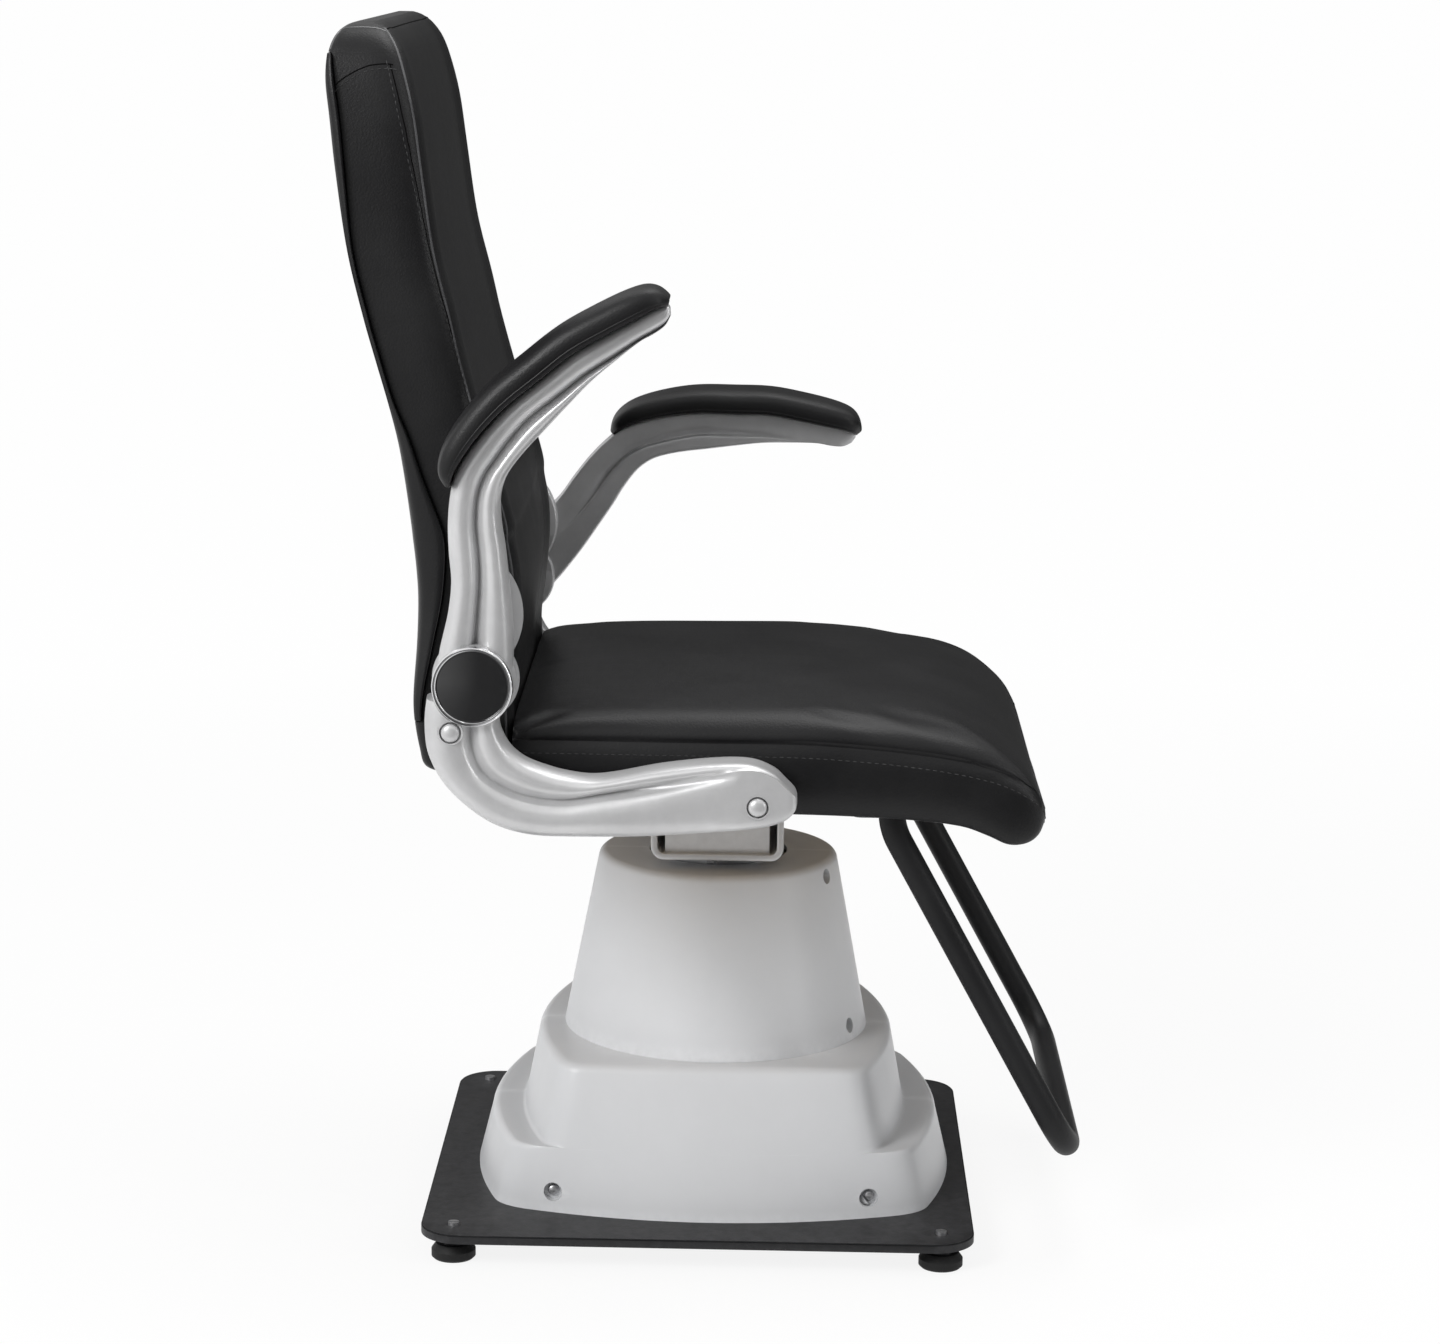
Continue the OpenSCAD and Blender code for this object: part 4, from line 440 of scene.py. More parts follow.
class Surface:
    """Points, quads and triangles that are gathered and made into one mesh."""

    def __init__(self):
        self.points, self.quads, self.tris, self.count = [], [], [], 0

    def add(self, points, quads, tris=None):
        """Takes a closed piece and turns its faces outwards. Its volume is the
        sum over triangles of a . (b x c) / 6, and is positive if they point out."""
        quads = np.asarray(quads, int).reshape(-1, 4)
        tris = np.zeros((0, 3), int) if tris is None else np.asarray(tris, int)
        every = np.vstack([quads[:, :3], quads[:, [0, 2, 3]], tris])
        a, b, c = (points[every[:, k]] - points.mean(0) for k in range(3))
        if np.einsum("ij,ij->i", a, np.cross(b, c)).sum() < 0:
            quads, tris = quads[:, ::-1], tris[:, ::-1]
        self.points.append(points)
        self.quads.append(quads + self.count)
        self.tris.append(tris + self.count)
        self.count += len(points)
        return self

    def loft(self, rings, wrap=False):
        """A skin over rings of points, closed at both ends by fans about the
        rings' middles, or joined end to end."""
        m, n = rings.shape[:2]
        points = rings.reshape(-1, 3)
        quads = grid_quads(m, n, wrap_m=wrap)
        if wrap:
            return self.add(points, quads)
        points = np.vstack([points, rings[0].mean(0), rings[-1].mean(0)])
        j, last = np.arange(n), (m - 1) * n
        low = np.stack([(j + 1) % n, j, np.full(n, m * n)], axis=1)
        high = np.stack([last + j, last + (j + 1) % n, np.full(n, m * n + 1)], axis=1)
        return self.add(points, quads, np.vstack([low, high]))

    def shell(self, outside, inside):
        """A wall between two open grids of the same size: the outside, its
        rim, the inside backwards, its rim, and strips over the two end cuts."""
        k, n = outside.shape[:2]
        points = np.concatenate([outside, inside[::-1]]).reshape(-1, 3)
        quads = grid_quads(2 * k, n, wrap_m=True, wrap_n=False)
        i = np.arange(k - 1)
        out, back = i * n, (2 * k - 1 - i) * n
        first = np.stack([out, out + n, back - n, back], axis=1)
        end = first[:, ::-1] + n - 1
        return self.add(points, np.vstack([quads, first, end]))

    def turned(self, profile, origin, axis="z", count=64):
        """A profile of (radius, height) turned about an axis through origin.
        A point at angle s is (r cos s, r sin s, h), and poles share one point."""
        profile = np.asarray(profile, float)
        s = np.arange(count) * 2 * math.pi / count
        poles = [profile[k, 0] < 1e-9 for k in (0, -1)]
        body = profile[int(poles[0]):len(profile) - int(poles[1])]
        r, h = body[:, 0, None], body[:, 1, None] + 0 * s
        points = np.stack([r * np.cos(s), r * np.sin(s), h], axis=-1).reshape(-1, 3)
        m, j = len(body), np.arange(count)
        quads = grid_quads(m, count, wrap_m=not any(poles))
        tris = []
        for k, row in ((0, 0), (-1, m - 1)):
            if poles[k]:
                points = np.vstack([points, [0, 0, profile[k, 1]]])
                fan = np.stack([row * count + j, row * count + (j + 1) % count,
                                np.full(count, len(points) - 1)], axis=1)
                tris.append(fan[:, ::-1] if k == 0 else fan)
        swap = {"z": [0, 1, 2], "y": [1, 2, 0], "x": [2, 0, 1]}[axis]
        return self.add(points[:, swap] + np.asarray(origin, float), quads,
                        np.vstack(tris) if tris else None)

    def tube(self, path, radius, sides=24):
        """A round tube along a path. Each ring is r (n cos s + b sin s), where n
        is carried along the path without twist and b is square to it."""
        path = np.asarray(path, float)
        t = unit(np.gradient(path, axis=0))
        n = np.zeros_like(t)
        n[0] = unit(np.cross(t[0], [0.3, 0.5, 0.8]))
        for k in range(1, len(t)):
            n[k] = unit(n[k - 1] - t[k] * np.dot(n[k - 1], t[k]))
        s = (np.arange(sides) * 2 * math.pi / sides)[:, None]
        rings = path[:, None] + radius * (n[:, None] * np.cos(s)
                                          + np.cross(t, n)[:, None] * np.sin(s))
        return self.loft(rings)

    def slab(self, outline, z0, z1, edge):
        """A flat plate of a closed outline with eased edges: rings of the
        outline drawn in towards its middle by up to edge at both faces."""
        middle = outline.mean(0)
        inward = unit(middle - outline)
        levels = [(z0, 4 * edge), (z0, edge), (mix(z0, z1, 0.08), 0.3 * edge),
                  (mix(z0, z1, 0.25), 0.0), (mix(z0, z1, 0.75), 0.0),
                  (mix(z0, z1, 0.92), 0.3 * edge), (z1, edge), (z1, 4 * edge)]
        return self.loft(np.stack([
            np.column_stack([outline + inward * d, np.full(len(outline), z)])
            for z, d in levels]))

    def mirrored(self):
        """A copy on the other side of the chair, with its faces turned round."""
        other = Surface()
        other.points = [p * [1, -1, 1] for p in self.points]
        other.quads = [q[:, ::-1] for q in self.quads]
        other.tris = [t[:, ::-1] for t in self.tris]
        other.count = self.count
        return other

    def on_both_sides(self):
        """Its pieces, and then their mirror images."""
        other = self.mirrored()
        self.points += other.points
        self.quads += [quads + self.count for quads in other.quads]
        self.tris += [tris + self.count for tris in other.tris]
        self.count *= 2
        return self

    def mesh(self, name, sharp=35.0):
        """The mesh, smooth but for edges sharper than an angle in degrees."""
        points = np.vstack(self.points)
        quads, tris = np.vstack(self.quads), np.vstack(self.tris)
        data = bpy.data.meshes.new(name)
        data.vertices.add(len(points))
        data.vertices.foreach_set("co", points.astype(np.float32).ravel())
        data.loops.add(quads.size + tris.size)
        data.loops.foreach_set("vertex_index", np.concatenate(
            [quads.ravel(), tris.ravel()]).astype(np.int32))
        starts = np.concatenate([np.arange(len(quads)) * 4,
                                 quads.size + np.arange(len(tris)) * 3])
        data.polygons.add(len(starts))
        data.polygons.foreach_set("loop_start", starts.astype(np.int32))
        data.update(calc_edges=True)
        data.validate()
        data.shade_smooth()
        data.set_sharp_from_angle(angle=math.radians(sharp))
        return data


def combined(data, other, operation):
    """One mesh cut by, joined with or kept inside another."""
    link = bpy.context.scene.collection.objects.link
    first = bpy.data.objects.new("first", data)
    second = bpy.data.objects.new("second", other)
    link(first)
    link(second)
    step = first.modifiers.new("combine", "BOOLEAN")
    step.operation, step.solver, step.object = operation, "EXACT", second
    bpy.context.view_layer.update()
    graph = bpy.context.evaluated_depsgraph_get()
    result = bpy.data.meshes.new_from_object(first.evaluated_get(graph))
    for helper in (first, second):
        bpy.data.objects.remove(helper)
    if len(result.polygons) < 8:
        raise RuntimeError("nothing is left of a piece after it was cut")
    result.shade_smooth()
    result.set_sharp_from_angle(angle=math.radians(35.0))
    return result


def other_side(data):
    """A mesh's mirror image on the other side of the chair."""
    image = data.copy()
    image.transform(Matrix.Diagonal((1, -1, 1, 1)))
    image.flip_normals()
    return image


def rod(x, z, y0, y1, r, count=48):
    """A plain cylinder along Y, as a cutter or a hub."""
    return Surface().turned([(0, y0), (r, y0), (r, y1), (0, y1)], (x, 0, z), "y",
                            count).mesh("rod")


def place(name, shape, finish, body, replaced=(), sharp=35.0):
    """Makes an object of a shape, gives it its finish and hangs it on a body."""
    data = shape if isinstance(shape, bpy.types.Mesh) else shape.mesh(name, sharp)
    piece = bpy.data.objects.new(name, data)
    bpy.context.scene.collection.objects.link(piece)
    data.materials.clear()
    data.materials.append(finish)
    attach(piece, body)
    if replaced:
        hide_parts(*replaced)
    return piece


def coordinates(data):
    """The places of a mesh's points."""
    flat = np.empty(len(data.vertices) * 3, np.float32)
    data.vertices.foreach_get("co", flat)
    return flat.reshape(-1, 3).astype(float)


def fill_cushion(piece, held, pressure, cap):
    """Fills a cushion: its skin is cloth, pressed outwards from within and held
    at its seams and where it rests. No point moves further than cap."""
    before = coordinates(piece.data)
    group = piece.vertex_groups.new(name="held")
    group.add([int(k) for k in np.flatnonzero(held)], 1.0, "REPLACE")
    cloth = piece.modifiers.new("filling", "CLOTH")
    cloth.settings.vertex_group_mass = "held"
    cloth.settings.quality = 6
    cloth.settings.use_pressure = True
    cloth.settings.uniform_pressure_force = pressure
    cloth.settings.tension_stiffness = 20
    cloth.settings.compression_stiffness = 20
    cloth.settings.bending_stiffness = 3
    cloth.settings.effector_weights.gravity = 0
    scene = bpy.context.scene
    for step in range(1, 21):
        scene.frame_set(step)
    graph = bpy.context.evaluated_depsgraph_get()
    filled = piece.evaluated_get(graph).to_mesh()
    move = coordinates(filled) - before
    piece.evaluated_get(graph).to_mesh_clear()
    piece.modifiers.remove(cloth)
    piece.vertex_groups.remove(group)
    scene.frame_set(1)
    size = np.linalg.norm(move, axis=1, keepdims=True)
    move *= cap * np.tanh(size / cap) / np.maximum(size, 1e-9)
    piece.data.vertices.foreach_set("co", (before + move).astype(np.float32).ravel())
    piece.data.update()


def held_points(m, n, on_ring, first_rings=0):
    """Which points of a loft are held: those whose place in the ring, counted
    from the middle plane, on_ring picks, the first rings and both poles."""
    column = np.tile(np.arange(n), m)
    row = np.repeat(np.arange(m), n)
    picked = on_ring(np.minimum(column, n - column)) | (row < first_rings)
    return np.concatenate([picked, [True, True]])


def refine(piece, levels=1):
    """Rounds a cushion off with a subdivision surface."""
    step = piece.modifiers.new("round", "SUBSURF")
    step.levels = step.render_levels = levels


def on_surface(piece, path):
    """The nearest places on a finished piece to a path, and its normals there."""
    bpy.context.view_layer.update()
    tree = BVHTree.FromObject(piece, bpy.context.evaluated_depsgraph_get())
    found = [tree.find_nearest(Vector(point)) for point in path]
    return (np.array([spot[0] for spot in found]), np.array([spot[1] for spot in found]))


def stitches(sewing, piece, path, look):
    """Sews a row of stitches along a path: each is a slim lens, a radius of
    r sqrt(1 - t^2) at share t of its half length, sunk half into the leather."""
    spots, normals = on_surface(piece, resample(path, look.pitch))
    run = unit(np.gradient(spots, axis=0))
    side = unit(np.cross(run, normals))
    t = np.array([-0.85, -0.4, 0.4, 0.85])
    s = np.arange(5) * 2 * math.pi / 5
    r = look.thread_r * np.sqrt(1 - t ** 2)
    local = np.stack([np.repeat(t * look.stitch / 2, 5), np.outer(r, np.cos(s)).ravel(),
                      np.outer(r, np.sin(s)).ravel()], axis=1)
    local = np.vstack([local, [-look.stitch / 2, 0, 0], [look.stitch / 2, 0, 0]])
    axes = np.stack([run, normals, side], axis=1)
    points = spots[:, None] + np.einsum("pk,skc->spc", local, axes)
    points += normals[:, None] * look.thread_r * 0.25
    count = len(local)
    shift = (np.arange(len(spots)) * count)[:, None, None]
    quads = (grid_quads(4, 5)[None] + shift).reshape(-1, 4)
    j = np.arange(5)
    caps = np.vstack([np.stack([(j + 1) % 5, j, np.full(5, 20)], axis=1),
                      np.stack([15 + j, 15 + (j + 1) % 5, np.full(5, 21)], axis=1)])
    sewing.add(points.reshape(-1, 3), quads, (caps[None] + shift).reshape(-1, 3))


def welt(sewing, piece, path, radius):
    """A folded edge of leather along a path, sunk so far into the piece that
    0.45 of its radius stands proud."""
    spots, normals = on_surface(piece, resample(path, 0.005))
    sewing.tube(spots - normals * radius * 0.55, radius, 8)


def rounded_outline(x0, x1, y0, y1, r, steps=8):
    """A rectangle with round corners: quarter circles about the four corners."""
    s = np.linspace(0, math.pi / 2, steps)
    corners = [(x1 - r, y1 - r, 0), (x0 + r, y1 - r, 1), (x0 + r, y0 + r, 2),
               (x1 - r, y0 + r, 3)]
    return np.concatenate([
        np.stack([cx + r * np.cos(s + k * math.pi / 2),
                  cy + r * np.sin(s + k * math.pi / 2)], axis=1) for cx, cy, k in corners])


# Finishes: shared effects as node groups, and one material for each finish

def node(tree, kind, ins=None, **props):
    """Adds a shader node, sets its properties, and gives each input its number,
    its colour or the socket that feeds it."""
    made = tree.nodes.new("ShaderNode" + kind)
    for name, value in props.items():
        setattr(made, name, value)
    for name, value in (ins or {}).items():
        if isinstance(value, bpy.types.NodeSocket):
            tree.links.new(value, made.inputs[name])
        else:
            made.inputs[name].default_value = value
    return made


def product(tree, first, second):
    """The product of two sockets or numbers."""
    return node(tree, "Math", {0: first, 1: second}, operation="MULTIPLY").outputs[0]


def total(tree, first, second):
    """The sum of two sockets or numbers."""
    return node(tree, "Math", {0: first, 1: second}, operation="ADD").outputs[0]


def ramp(tree, value, low, high, start=0.0, end=1.0):
    """A value carried from the range low to high over to start to end."""
    return node(tree, "MapRange", {"Value": value, "From Min": low, "From Max": high,
                                   "To Min": start, "To Max": end}).outputs["Result"]


def tint(tree, factor, under, over):
    """One colour laid over another by a factor."""
    return node(tree, "Mix", {"Factor": factor, "A": under, "B": over},
                data_type="RGBA").outputs["Result"]


def own_place(tree):
    """The piece's own coordinates."""
    return node(tree, "TexCoord").outputs["Object"]


def noise(tree, scale, detail=3.0, stretch=None, rough=0.55):
    """Noise on the piece's own coordinates, stretched along an axis if asked."""
    spot = own_place(tree)
    if stretch:
        spot = node(tree, "Mapping", {"Vector": spot, "Scale": stretch}).outputs["Vector"]
    return node(tree, "TexNoise", {"Vector": spot, "Scale": scale, "Detail": detail,
                                   "Roughness": rough}).outputs["Fac"]


def shared(name, build):
    """A shared effect: a node group with a Scale and a Share, built once. Build
    returns its outputs by name."""
    if name in bpy.data.node_groups:
        return bpy.data.node_groups[name]
    tree = bpy.data.node_groups.new(name, "ShaderNodeTree")
    for label in ("Scale", "Share"):
        tree.interface.new_socket(label, in_out="INPUT", socket_type="NodeSocketFloat")
    start = tree.nodes.new("NodeGroupInput").outputs
    made = build(tree, start["Scale"], start["Share"])
    for label in made:
        tree.interface.new_socket(label, in_out="OUTPUT", socket_type="NodeSocketFloat")
    end = tree.nodes.new("NodeGroupOutput")
    for label, socket in made.items():
        tree.links.new(socket, end.inputs[label])
    return tree


def effect(tree, name, build, scale, share):
    """The outputs of a shared effect, used in a material."""
    return node(tree, "Group", {"Scale": scale, "Share": share},
                node_tree=shared(name, build)).outputs


def build_grain(tree, scale, share):
    """Leather grain: rounded cells with fine noise, faint long creases, and
    patches where the leather is rubbed."""
    cells = node(tree, "TexVoronoi", {"Vector": own_place(tree), "Scale": scale},
                 feature="SMOOTH_F1").outputs["Distance"]
    fine = noise(tree, product(tree, scale, 2.3))
    grain = total(tree, product(tree, cells, -0.7), product(tree, fine, 0.4))
    crease = noise(tree, 9.0, 4.0, (0.55, 3.4, 3.4), 0.6)
    return {"Height": total(tree, product(tree, grain, 0.22), product(tree, crease, share)),
            "Patches": noise(tree, 7.0, 5.0)}


def build_peel(tree, scale, share):
    """Orange peel of moulded plastic and powder coat, and faint patches."""
    fine, broad = noise(tree, scale, 2.0), noise(tree, 11.0, 2.0)
    return {"Height": total(tree, product(tree, fine, share), product(tree, broad, 0.5)),
            "Patches": noise(tree, 6.0, 6.0, None, 0.65)}


def build_cast(tree, scale, share):
    """Blasted and lacquered casting: a fine sandy skin over broad ripples."""
    sand, ripple = noise(tree, scale, 4.0, None, 0.7), noise(tree, 26.0, 3.0)
    return {"Height": total(tree, product(tree, sand, share), product(tree, ripple, 0.9)),
            "Patches": noise(tree, 15.0, 6.0, None, 0.65)}


def build_streak(tree, scale, share):
    """Turned or drawn metal: long fine streaks along X, and light stains."""
    return {"Height": product(tree, noise(tree, scale, 3.0, (0.02, 1.0, 1.0)), share),
            "Patches": noise(tree, 40.0, 4.0)}


def build_wood(tree, scale, share):
    """Plywood: grain drawn out along X, with darker pores."""
    return {"Height": product(tree, noise(tree, scale, 8.0, (0.06, 1.0, 1.0), 0.7), share),
            "Patches": noise(tree, 30.0, 6.0, (0.1, 1.0, 1.6))}


def build_wear_and_highlight(tree, scale, share):
    """Lighter convex edges, broken up by noise: partly wear, partly a painted highlight along the edges."""
    rise = ramp(tree, node(tree, "NewGeometry").outputs["Pointiness"], 0.52, 0.62)
    return {"Worn": product(tree, product(tree, rise, noise(tree, scale, 5.0)), share)}


def build_fold_shade(tree, scale, share):
    """Painted shade in folds: concave places darkened, broken up by noise."""
    drop = ramp(tree, node(tree, "NewGeometry").outputs["Pointiness"], 0.492, 0.440)
    broken = total(tree, 0.55, product(tree, 0.6, noise(tree, scale, 5.0)))
    return {"Grime": product(tree, product(tree, drop, broken), share)}


EFFECTS = {"grain": build_grain, "peel": build_peel, "cast": build_cast,
           "streak": build_streak, "wood": build_wood}


def finish(name, kind, scale, share, colours, rough, bump, metallic=0.0,
           specular=0.5, coat=0.0, worn_and_lit=None, wear=0.0, grime=0.0):
    """A material of one finish: two colours mixed by the effect's patches, a
    roughness that follows them, its height as bump, lighter edges that are partly
    wear and partly a painted highlight, and painted shade in folds."""
    if name in bpy.data.materials:
        return bpy.data.materials[name]
    made = bpy.data.materials.new(name)
    tree = clean_tree(made)
    skin = effect(tree, kind, EFFECTS[kind], scale, share)
    patches = skin["Patches"]
    shade = tint(tree, ramp(tree, patches, 0.35, 0.68), *((*tone, 1) for tone in colours))
    # Lighter convex edges: partly wear, partly a painted highlight.
    if wear:
        worn_and_lit_edges = effect(tree, "edge_wear", build_wear_and_highlight, 120.0, wear)["Worn"]
        shade = tint(tree, worn_and_lit_edges, shade, (*(worn_and_lit or colours[1]), 1))
    # Painted shade: folds darkened towards three tenths of the second colour.
    if grime:
        folds = effect(tree, "grime", build_fold_shade, 60.0, grime)["Grime"]
        shade = tint(tree, folds, shade, (*toned(colours[1], 0.3), 1))
    relief = node(tree, "Bump", {"Strength": 1.0, "Distance": bump,
                                 "Height": skin["Height"]})
    shader = node(tree, "BsdfPrincipled", {
        "Base Color": shade, "Metallic": metallic, "Specular IOR Level": specular,
        "Coat Weight": coat, "Roughness": ramp(tree, patches, 0.3, 0.7, *rough),
        "Normal": relief.outputs["Normal"]})
    node(tree, "OutputMaterial", {"Surface": shader.outputs["BSDF"]})
    return made


def clean_tree(owner):
    """The emptied node tree of a material or a world."""
    owner.use_nodes = True
    owner.node_tree.nodes.clear()
    return owner.node_tree


def toned(shade, share):
    """A colour made lighter or darker by a share."""
    return tuple(min(1.0, value * share) for value in shade)


def finishes():
    """Every finish of the chair, by the name of the record's material slot."""
    soft, metal, cover = (settings(name) for name in ("upholstery", "metalwork", "covers"))
    # The lighter edge colour and wear share of each finish give convex edges that are partly wear and partly a
    # painted highlight.
    return {
        "black_leather": finish("leatherette", "grain", 620.0, 0.35,
                                (soft.leather, soft.rubbed), (0.34, 0.46), 0.0009,
                                specular=0.22, worn_and_lit=toned(soft.rubbed, 1.6), wear=0.4),
        "thread": finish("sewing thread", "streak", 900.0, 0.5,
                         (soft.thread, toned(soft.thread, 1.5)), (0.5, 0.7), 0.0001),
        # The seam is near-black and matt, darker than the leather: painted shade in the seam's groove.
        "seam": finish("folded seam", "streak", 900.0, 0.3,
                       ((0.0015,) * 3, (0.003,) * 3), (0.8, 0.9), 0.0001, specular=0.05),
        # The piping is the rubbed leather made five to seven times lighter: a painted highlight along the back's
        # front edge and over its top.
        "piping": finish("glossy piping", "streak", 500.0, 0.2,
                         (toned(soft.rubbed, 5.0), toned(soft.rubbed, 7.0)), (0.16, 0.24),
                         0.0001, specular=0.6),
        # The casting's folds get painted shade, and its lighter edges are partly a painted highlight.
        "silver_cast": finish("silver casting", "cast", 420.0, 0.10,
                              (metal.silver, metal.silver_dark), (0.28, 0.38), 0.0006,
                              metallic=0.38, worn_and_lit=toned(metal.silver, 1.4), wear=0.45,
                              grime=0.55),
        "silver_paint": finish("silver paint", "peel", 380.0, 0.2,
                               (metal.silver, toned(metal.silver, 0.85)), (0.34, 0.44),
                               0.0004, metallic=0.45, worn_and_lit=toned(metal.silver, 1.4),
                               wear=0.5),
        "plate_paint": finish("black powder coat", "peel", 520.0, 0.35,
                              (metal.black, toned(metal.black, 1.5)), (0.42, 0.55), 0.0004,
                              specular=0.20, worn_and_lit=(0.09, 0.09, 0.095), wear=0.7),
        "polished_steel": finish("polished steel", "streak", 900.0, 0.2,
                                 (metal.chrome, toned(metal.chrome, 0.9)), (0.06, 0.14),
                                 0.00003, metallic=1.0),
        "zinc_steel": finish("zinc plated steel", "streak", 700.0, 0.5,
                             (metal.steel, toned(metal.steel, 0.75)), (0.26, 0.42),
                             0.0001, metallic=0.9, worn_and_lit=toned(metal.steel, 1.4), wear=0.4),
        "bronze": finish("bearing bronze", "streak", 600.0, 0.4,
                         (metal.bronze, toned(metal.bronze, 0.7)), (0.25, 0.4), 0.0001,
                         metallic=0.9),
        "cover_plastic": finish("moulded plastic", "peel", 300.0, 0.10,
                                (cover.plastic, toned(cover.plastic, 0.955)),
                                (0.34, 0.44), 0.00045, specular=0.40,
                                worn_and_lit=toned(cover.plastic, 1.5), wear=0.75),
        "cap_plastic": finish("glossy cap", "peel", 200.0, 0.05,
                              (cover.cap, toned(cover.cap, 1.4)), (0.05, 0.12), 0.0001,
                              coat=0.6),
        "box_plastic": finish("black plastic", "peel", 700.0, 0.5,
                              (cover.box, toned(cover.box, 1.4)), (0.45, 0.6), 0.0003),
        "wear_plastic": finish("slide plastic", "peel", 500.0, 0.2,
                               (cover.wear, toned(cover.wear, 0.9)), (0.4, 0.5), 0.0002),
        "foot_rubber": finish("foot rubber", "cast", 900.0, 0.4,
                              (cover.rubber, toned(cover.rubber, 1.8)), (0.6, 0.75),
                              0.0004, specular=0.3),
        "plywood": finish("plywood", "wood", 260.0, 0.6, (cover.wood, cover.wood_dark),
                          (0.5, 0.65), 0.0003),
    }


def dress_frame():
    """Gives every CAD node that stays visible the finish of its slot."""
    looks = finishes()
    for row in frame["record"]["subparts"]:
        for slot in NODES[row["node"]].material_slots:
            slot.material = looks[row["material_slot"]]


# Shapes of the pieces

def seat_rings(soft):
    """The seat cushion: rings over its rows. A point of a ring is a share of the
    row's half width and of its heights, and the board's bed is let in below."""
    span, half_w = soft.seat_front + soft.seat_rear, soft.seat_w / 2
    board = (BOARD_IN - soft.seat_rear, soft.seat_front - BOARD_SHORT)
    places = np.linspace(0, len(SEAT_ROWS) - 1, 1301)
    fine = along(SEAT_ROWS, places)[:, 0] * span - soft.seat_rear
    steps = [np.interp(edge + d, fine, places)
             for edge in board for d in (-soft.gap, -2 * soft.gap, soft.gap, 2 * soft.gap)]
    u = np.unique(np.concatenate([runs((0, 1, 9), (1, 8, 43), (8, 13, 51)), steps]))
    rows = along(SEAT_ROWS, u)
    x, hw = rows[:, 0] * span - soft.seat_rear, rows[:, 4] * half_w
    low = SEAT_UNDER + rows[:, 1] * soft.seat_side_h
    seam = SEAT_UNDER + rows[:, 2] * soft.seat_side_h
    crown = seam + rows[:, 3] * soft.seat_crown_h
    bed = np.where((x > board[0] - 1.5 * soft.gap) & (x < board[1] + 1.5 * soft.gap),
                   np.maximum(SEAT_UNDER + soft.board_t + soft.gap, low), low)
    edge = np.minimum(half_w - BOARD_IN + soft.gap, 0.94 * hw)
    under = np.linspace(0, 1, 7)
    side = along(SEAT_SIDE, runs((0, 3, 10), (3, 4.4, 8), (4.4, 5, 8)))
    top = along(SEAT_TOP, runs((0, 1, 7), (1, 4, 13), (4, 7, 13)))[1:]
    y = np.concatenate([edge[:, None] * under, hw[:, None] * side[:, 0],
                        hw[:, None] * top[:, 0]], axis=1)
    z = np.concatenate([bed[:, None] + 0 * under,
                        mix(low[:, None], seam[:, None], side[:, 1]),
                        mix(seam[:, None], crown[:, None], top[:, 1])], axis=1)
    half = np.stack([x[:, None] + 0 * y, y, z], axis=-1)
    return whole_rings(half), len(under), len(under) + len(side) - 1


def back_frame(soft, u):
    """Height, rear face, rear seam, front and half width of the back at places u."""
    rows = along(BACK_ROWS, u)
    start = PIVOT[0] + soft.back_ahead
    rear = start + rows[:, 1] * soft.back_h
    return (PIVOT[2] - soft.back_down + rows[:, 0] * soft.back_h, rear,
            rear + rows[:, 2] * soft.back_h, rear + rows[:, 3] * soft.back_h,
            rows[:, 4] * soft.back_w / 2)


def back_rings(soft):
    """The back cushion: level rings, a crowned front with a ridge along each
    side, sides that round into the rear, and beds for the board and the cover."""
    first, last = BACK_COVER
    low = runs((0, first, 19), (first - 0.02, first, 2))
    high = runs((last, len(BACK_ROWS) - 1, 36), (last, last + 0.02, 2))
    middle = runs((first, last, 85), (BACK_BOARD[0] - 0.01, BACK_BOARD[1] + 0.01, 2),
                  (first + 0.02, last - 0.02, 2))
    u = np.concatenate([low, middle, high])
    covered = np.zeros(len(u), bool)
    covered[len(low):len(low) + len(middle)] = True
    z, rear, seam, front, hw = back_frame(soft, u)
    z[len(low)] += soft.gap
    z[len(low) + len(middle) - 1] -= soft.gap
    back = np.where(covered, seam + soft.gap, rear)
    edge = np.where(covered, TUCK, np.minimum((front - back) * 0.2, BACK_EDGE))
    bed = np.where(covered & (u > BACK_BOARD[0] - 0.005) & (u < BACK_BOARD[1] + 0.005),
                   back + soft.board_t + soft.gap, back)
    face = along(BACK_FRONT, runs((0, 2, 9), (2, 6, 25), (6, 8, 9)))
    xs = np.maximum(mix(rear[:, None], front[:, None], face[:, 1]),
                    (back + 1.2 * edge)[:, None])
    ys = hw[:, None] * face[:, 0]
    s = np.linspace(0, math.pi / 2, 5)
    xs = np.concatenate([xs, back[:, None] + edge[:, None] * (1 - np.sin(s))], axis=1)
    ys = np.concatenate([ys, hw[:, None] * 0.998 - edge[:, None] * (1 - np.cos(s))], axis=1)
    inner = np.minimum(hw - BACK_BOARD_IN + soft.gap, hw - 2 * edge)
    inner = inner[:, None] * np.linspace(1, 0, 6)
    xs = np.concatenate([xs, back[:, None], bed[:, None] + 0 * inner], axis=1)
    ys = np.concatenate([ys, inner[:, :1], inner], axis=1)
    half = np.stack([xs, ys, z[:, None] + 0 * xs], axis=-1)
    return whole_rings(half), len(face)


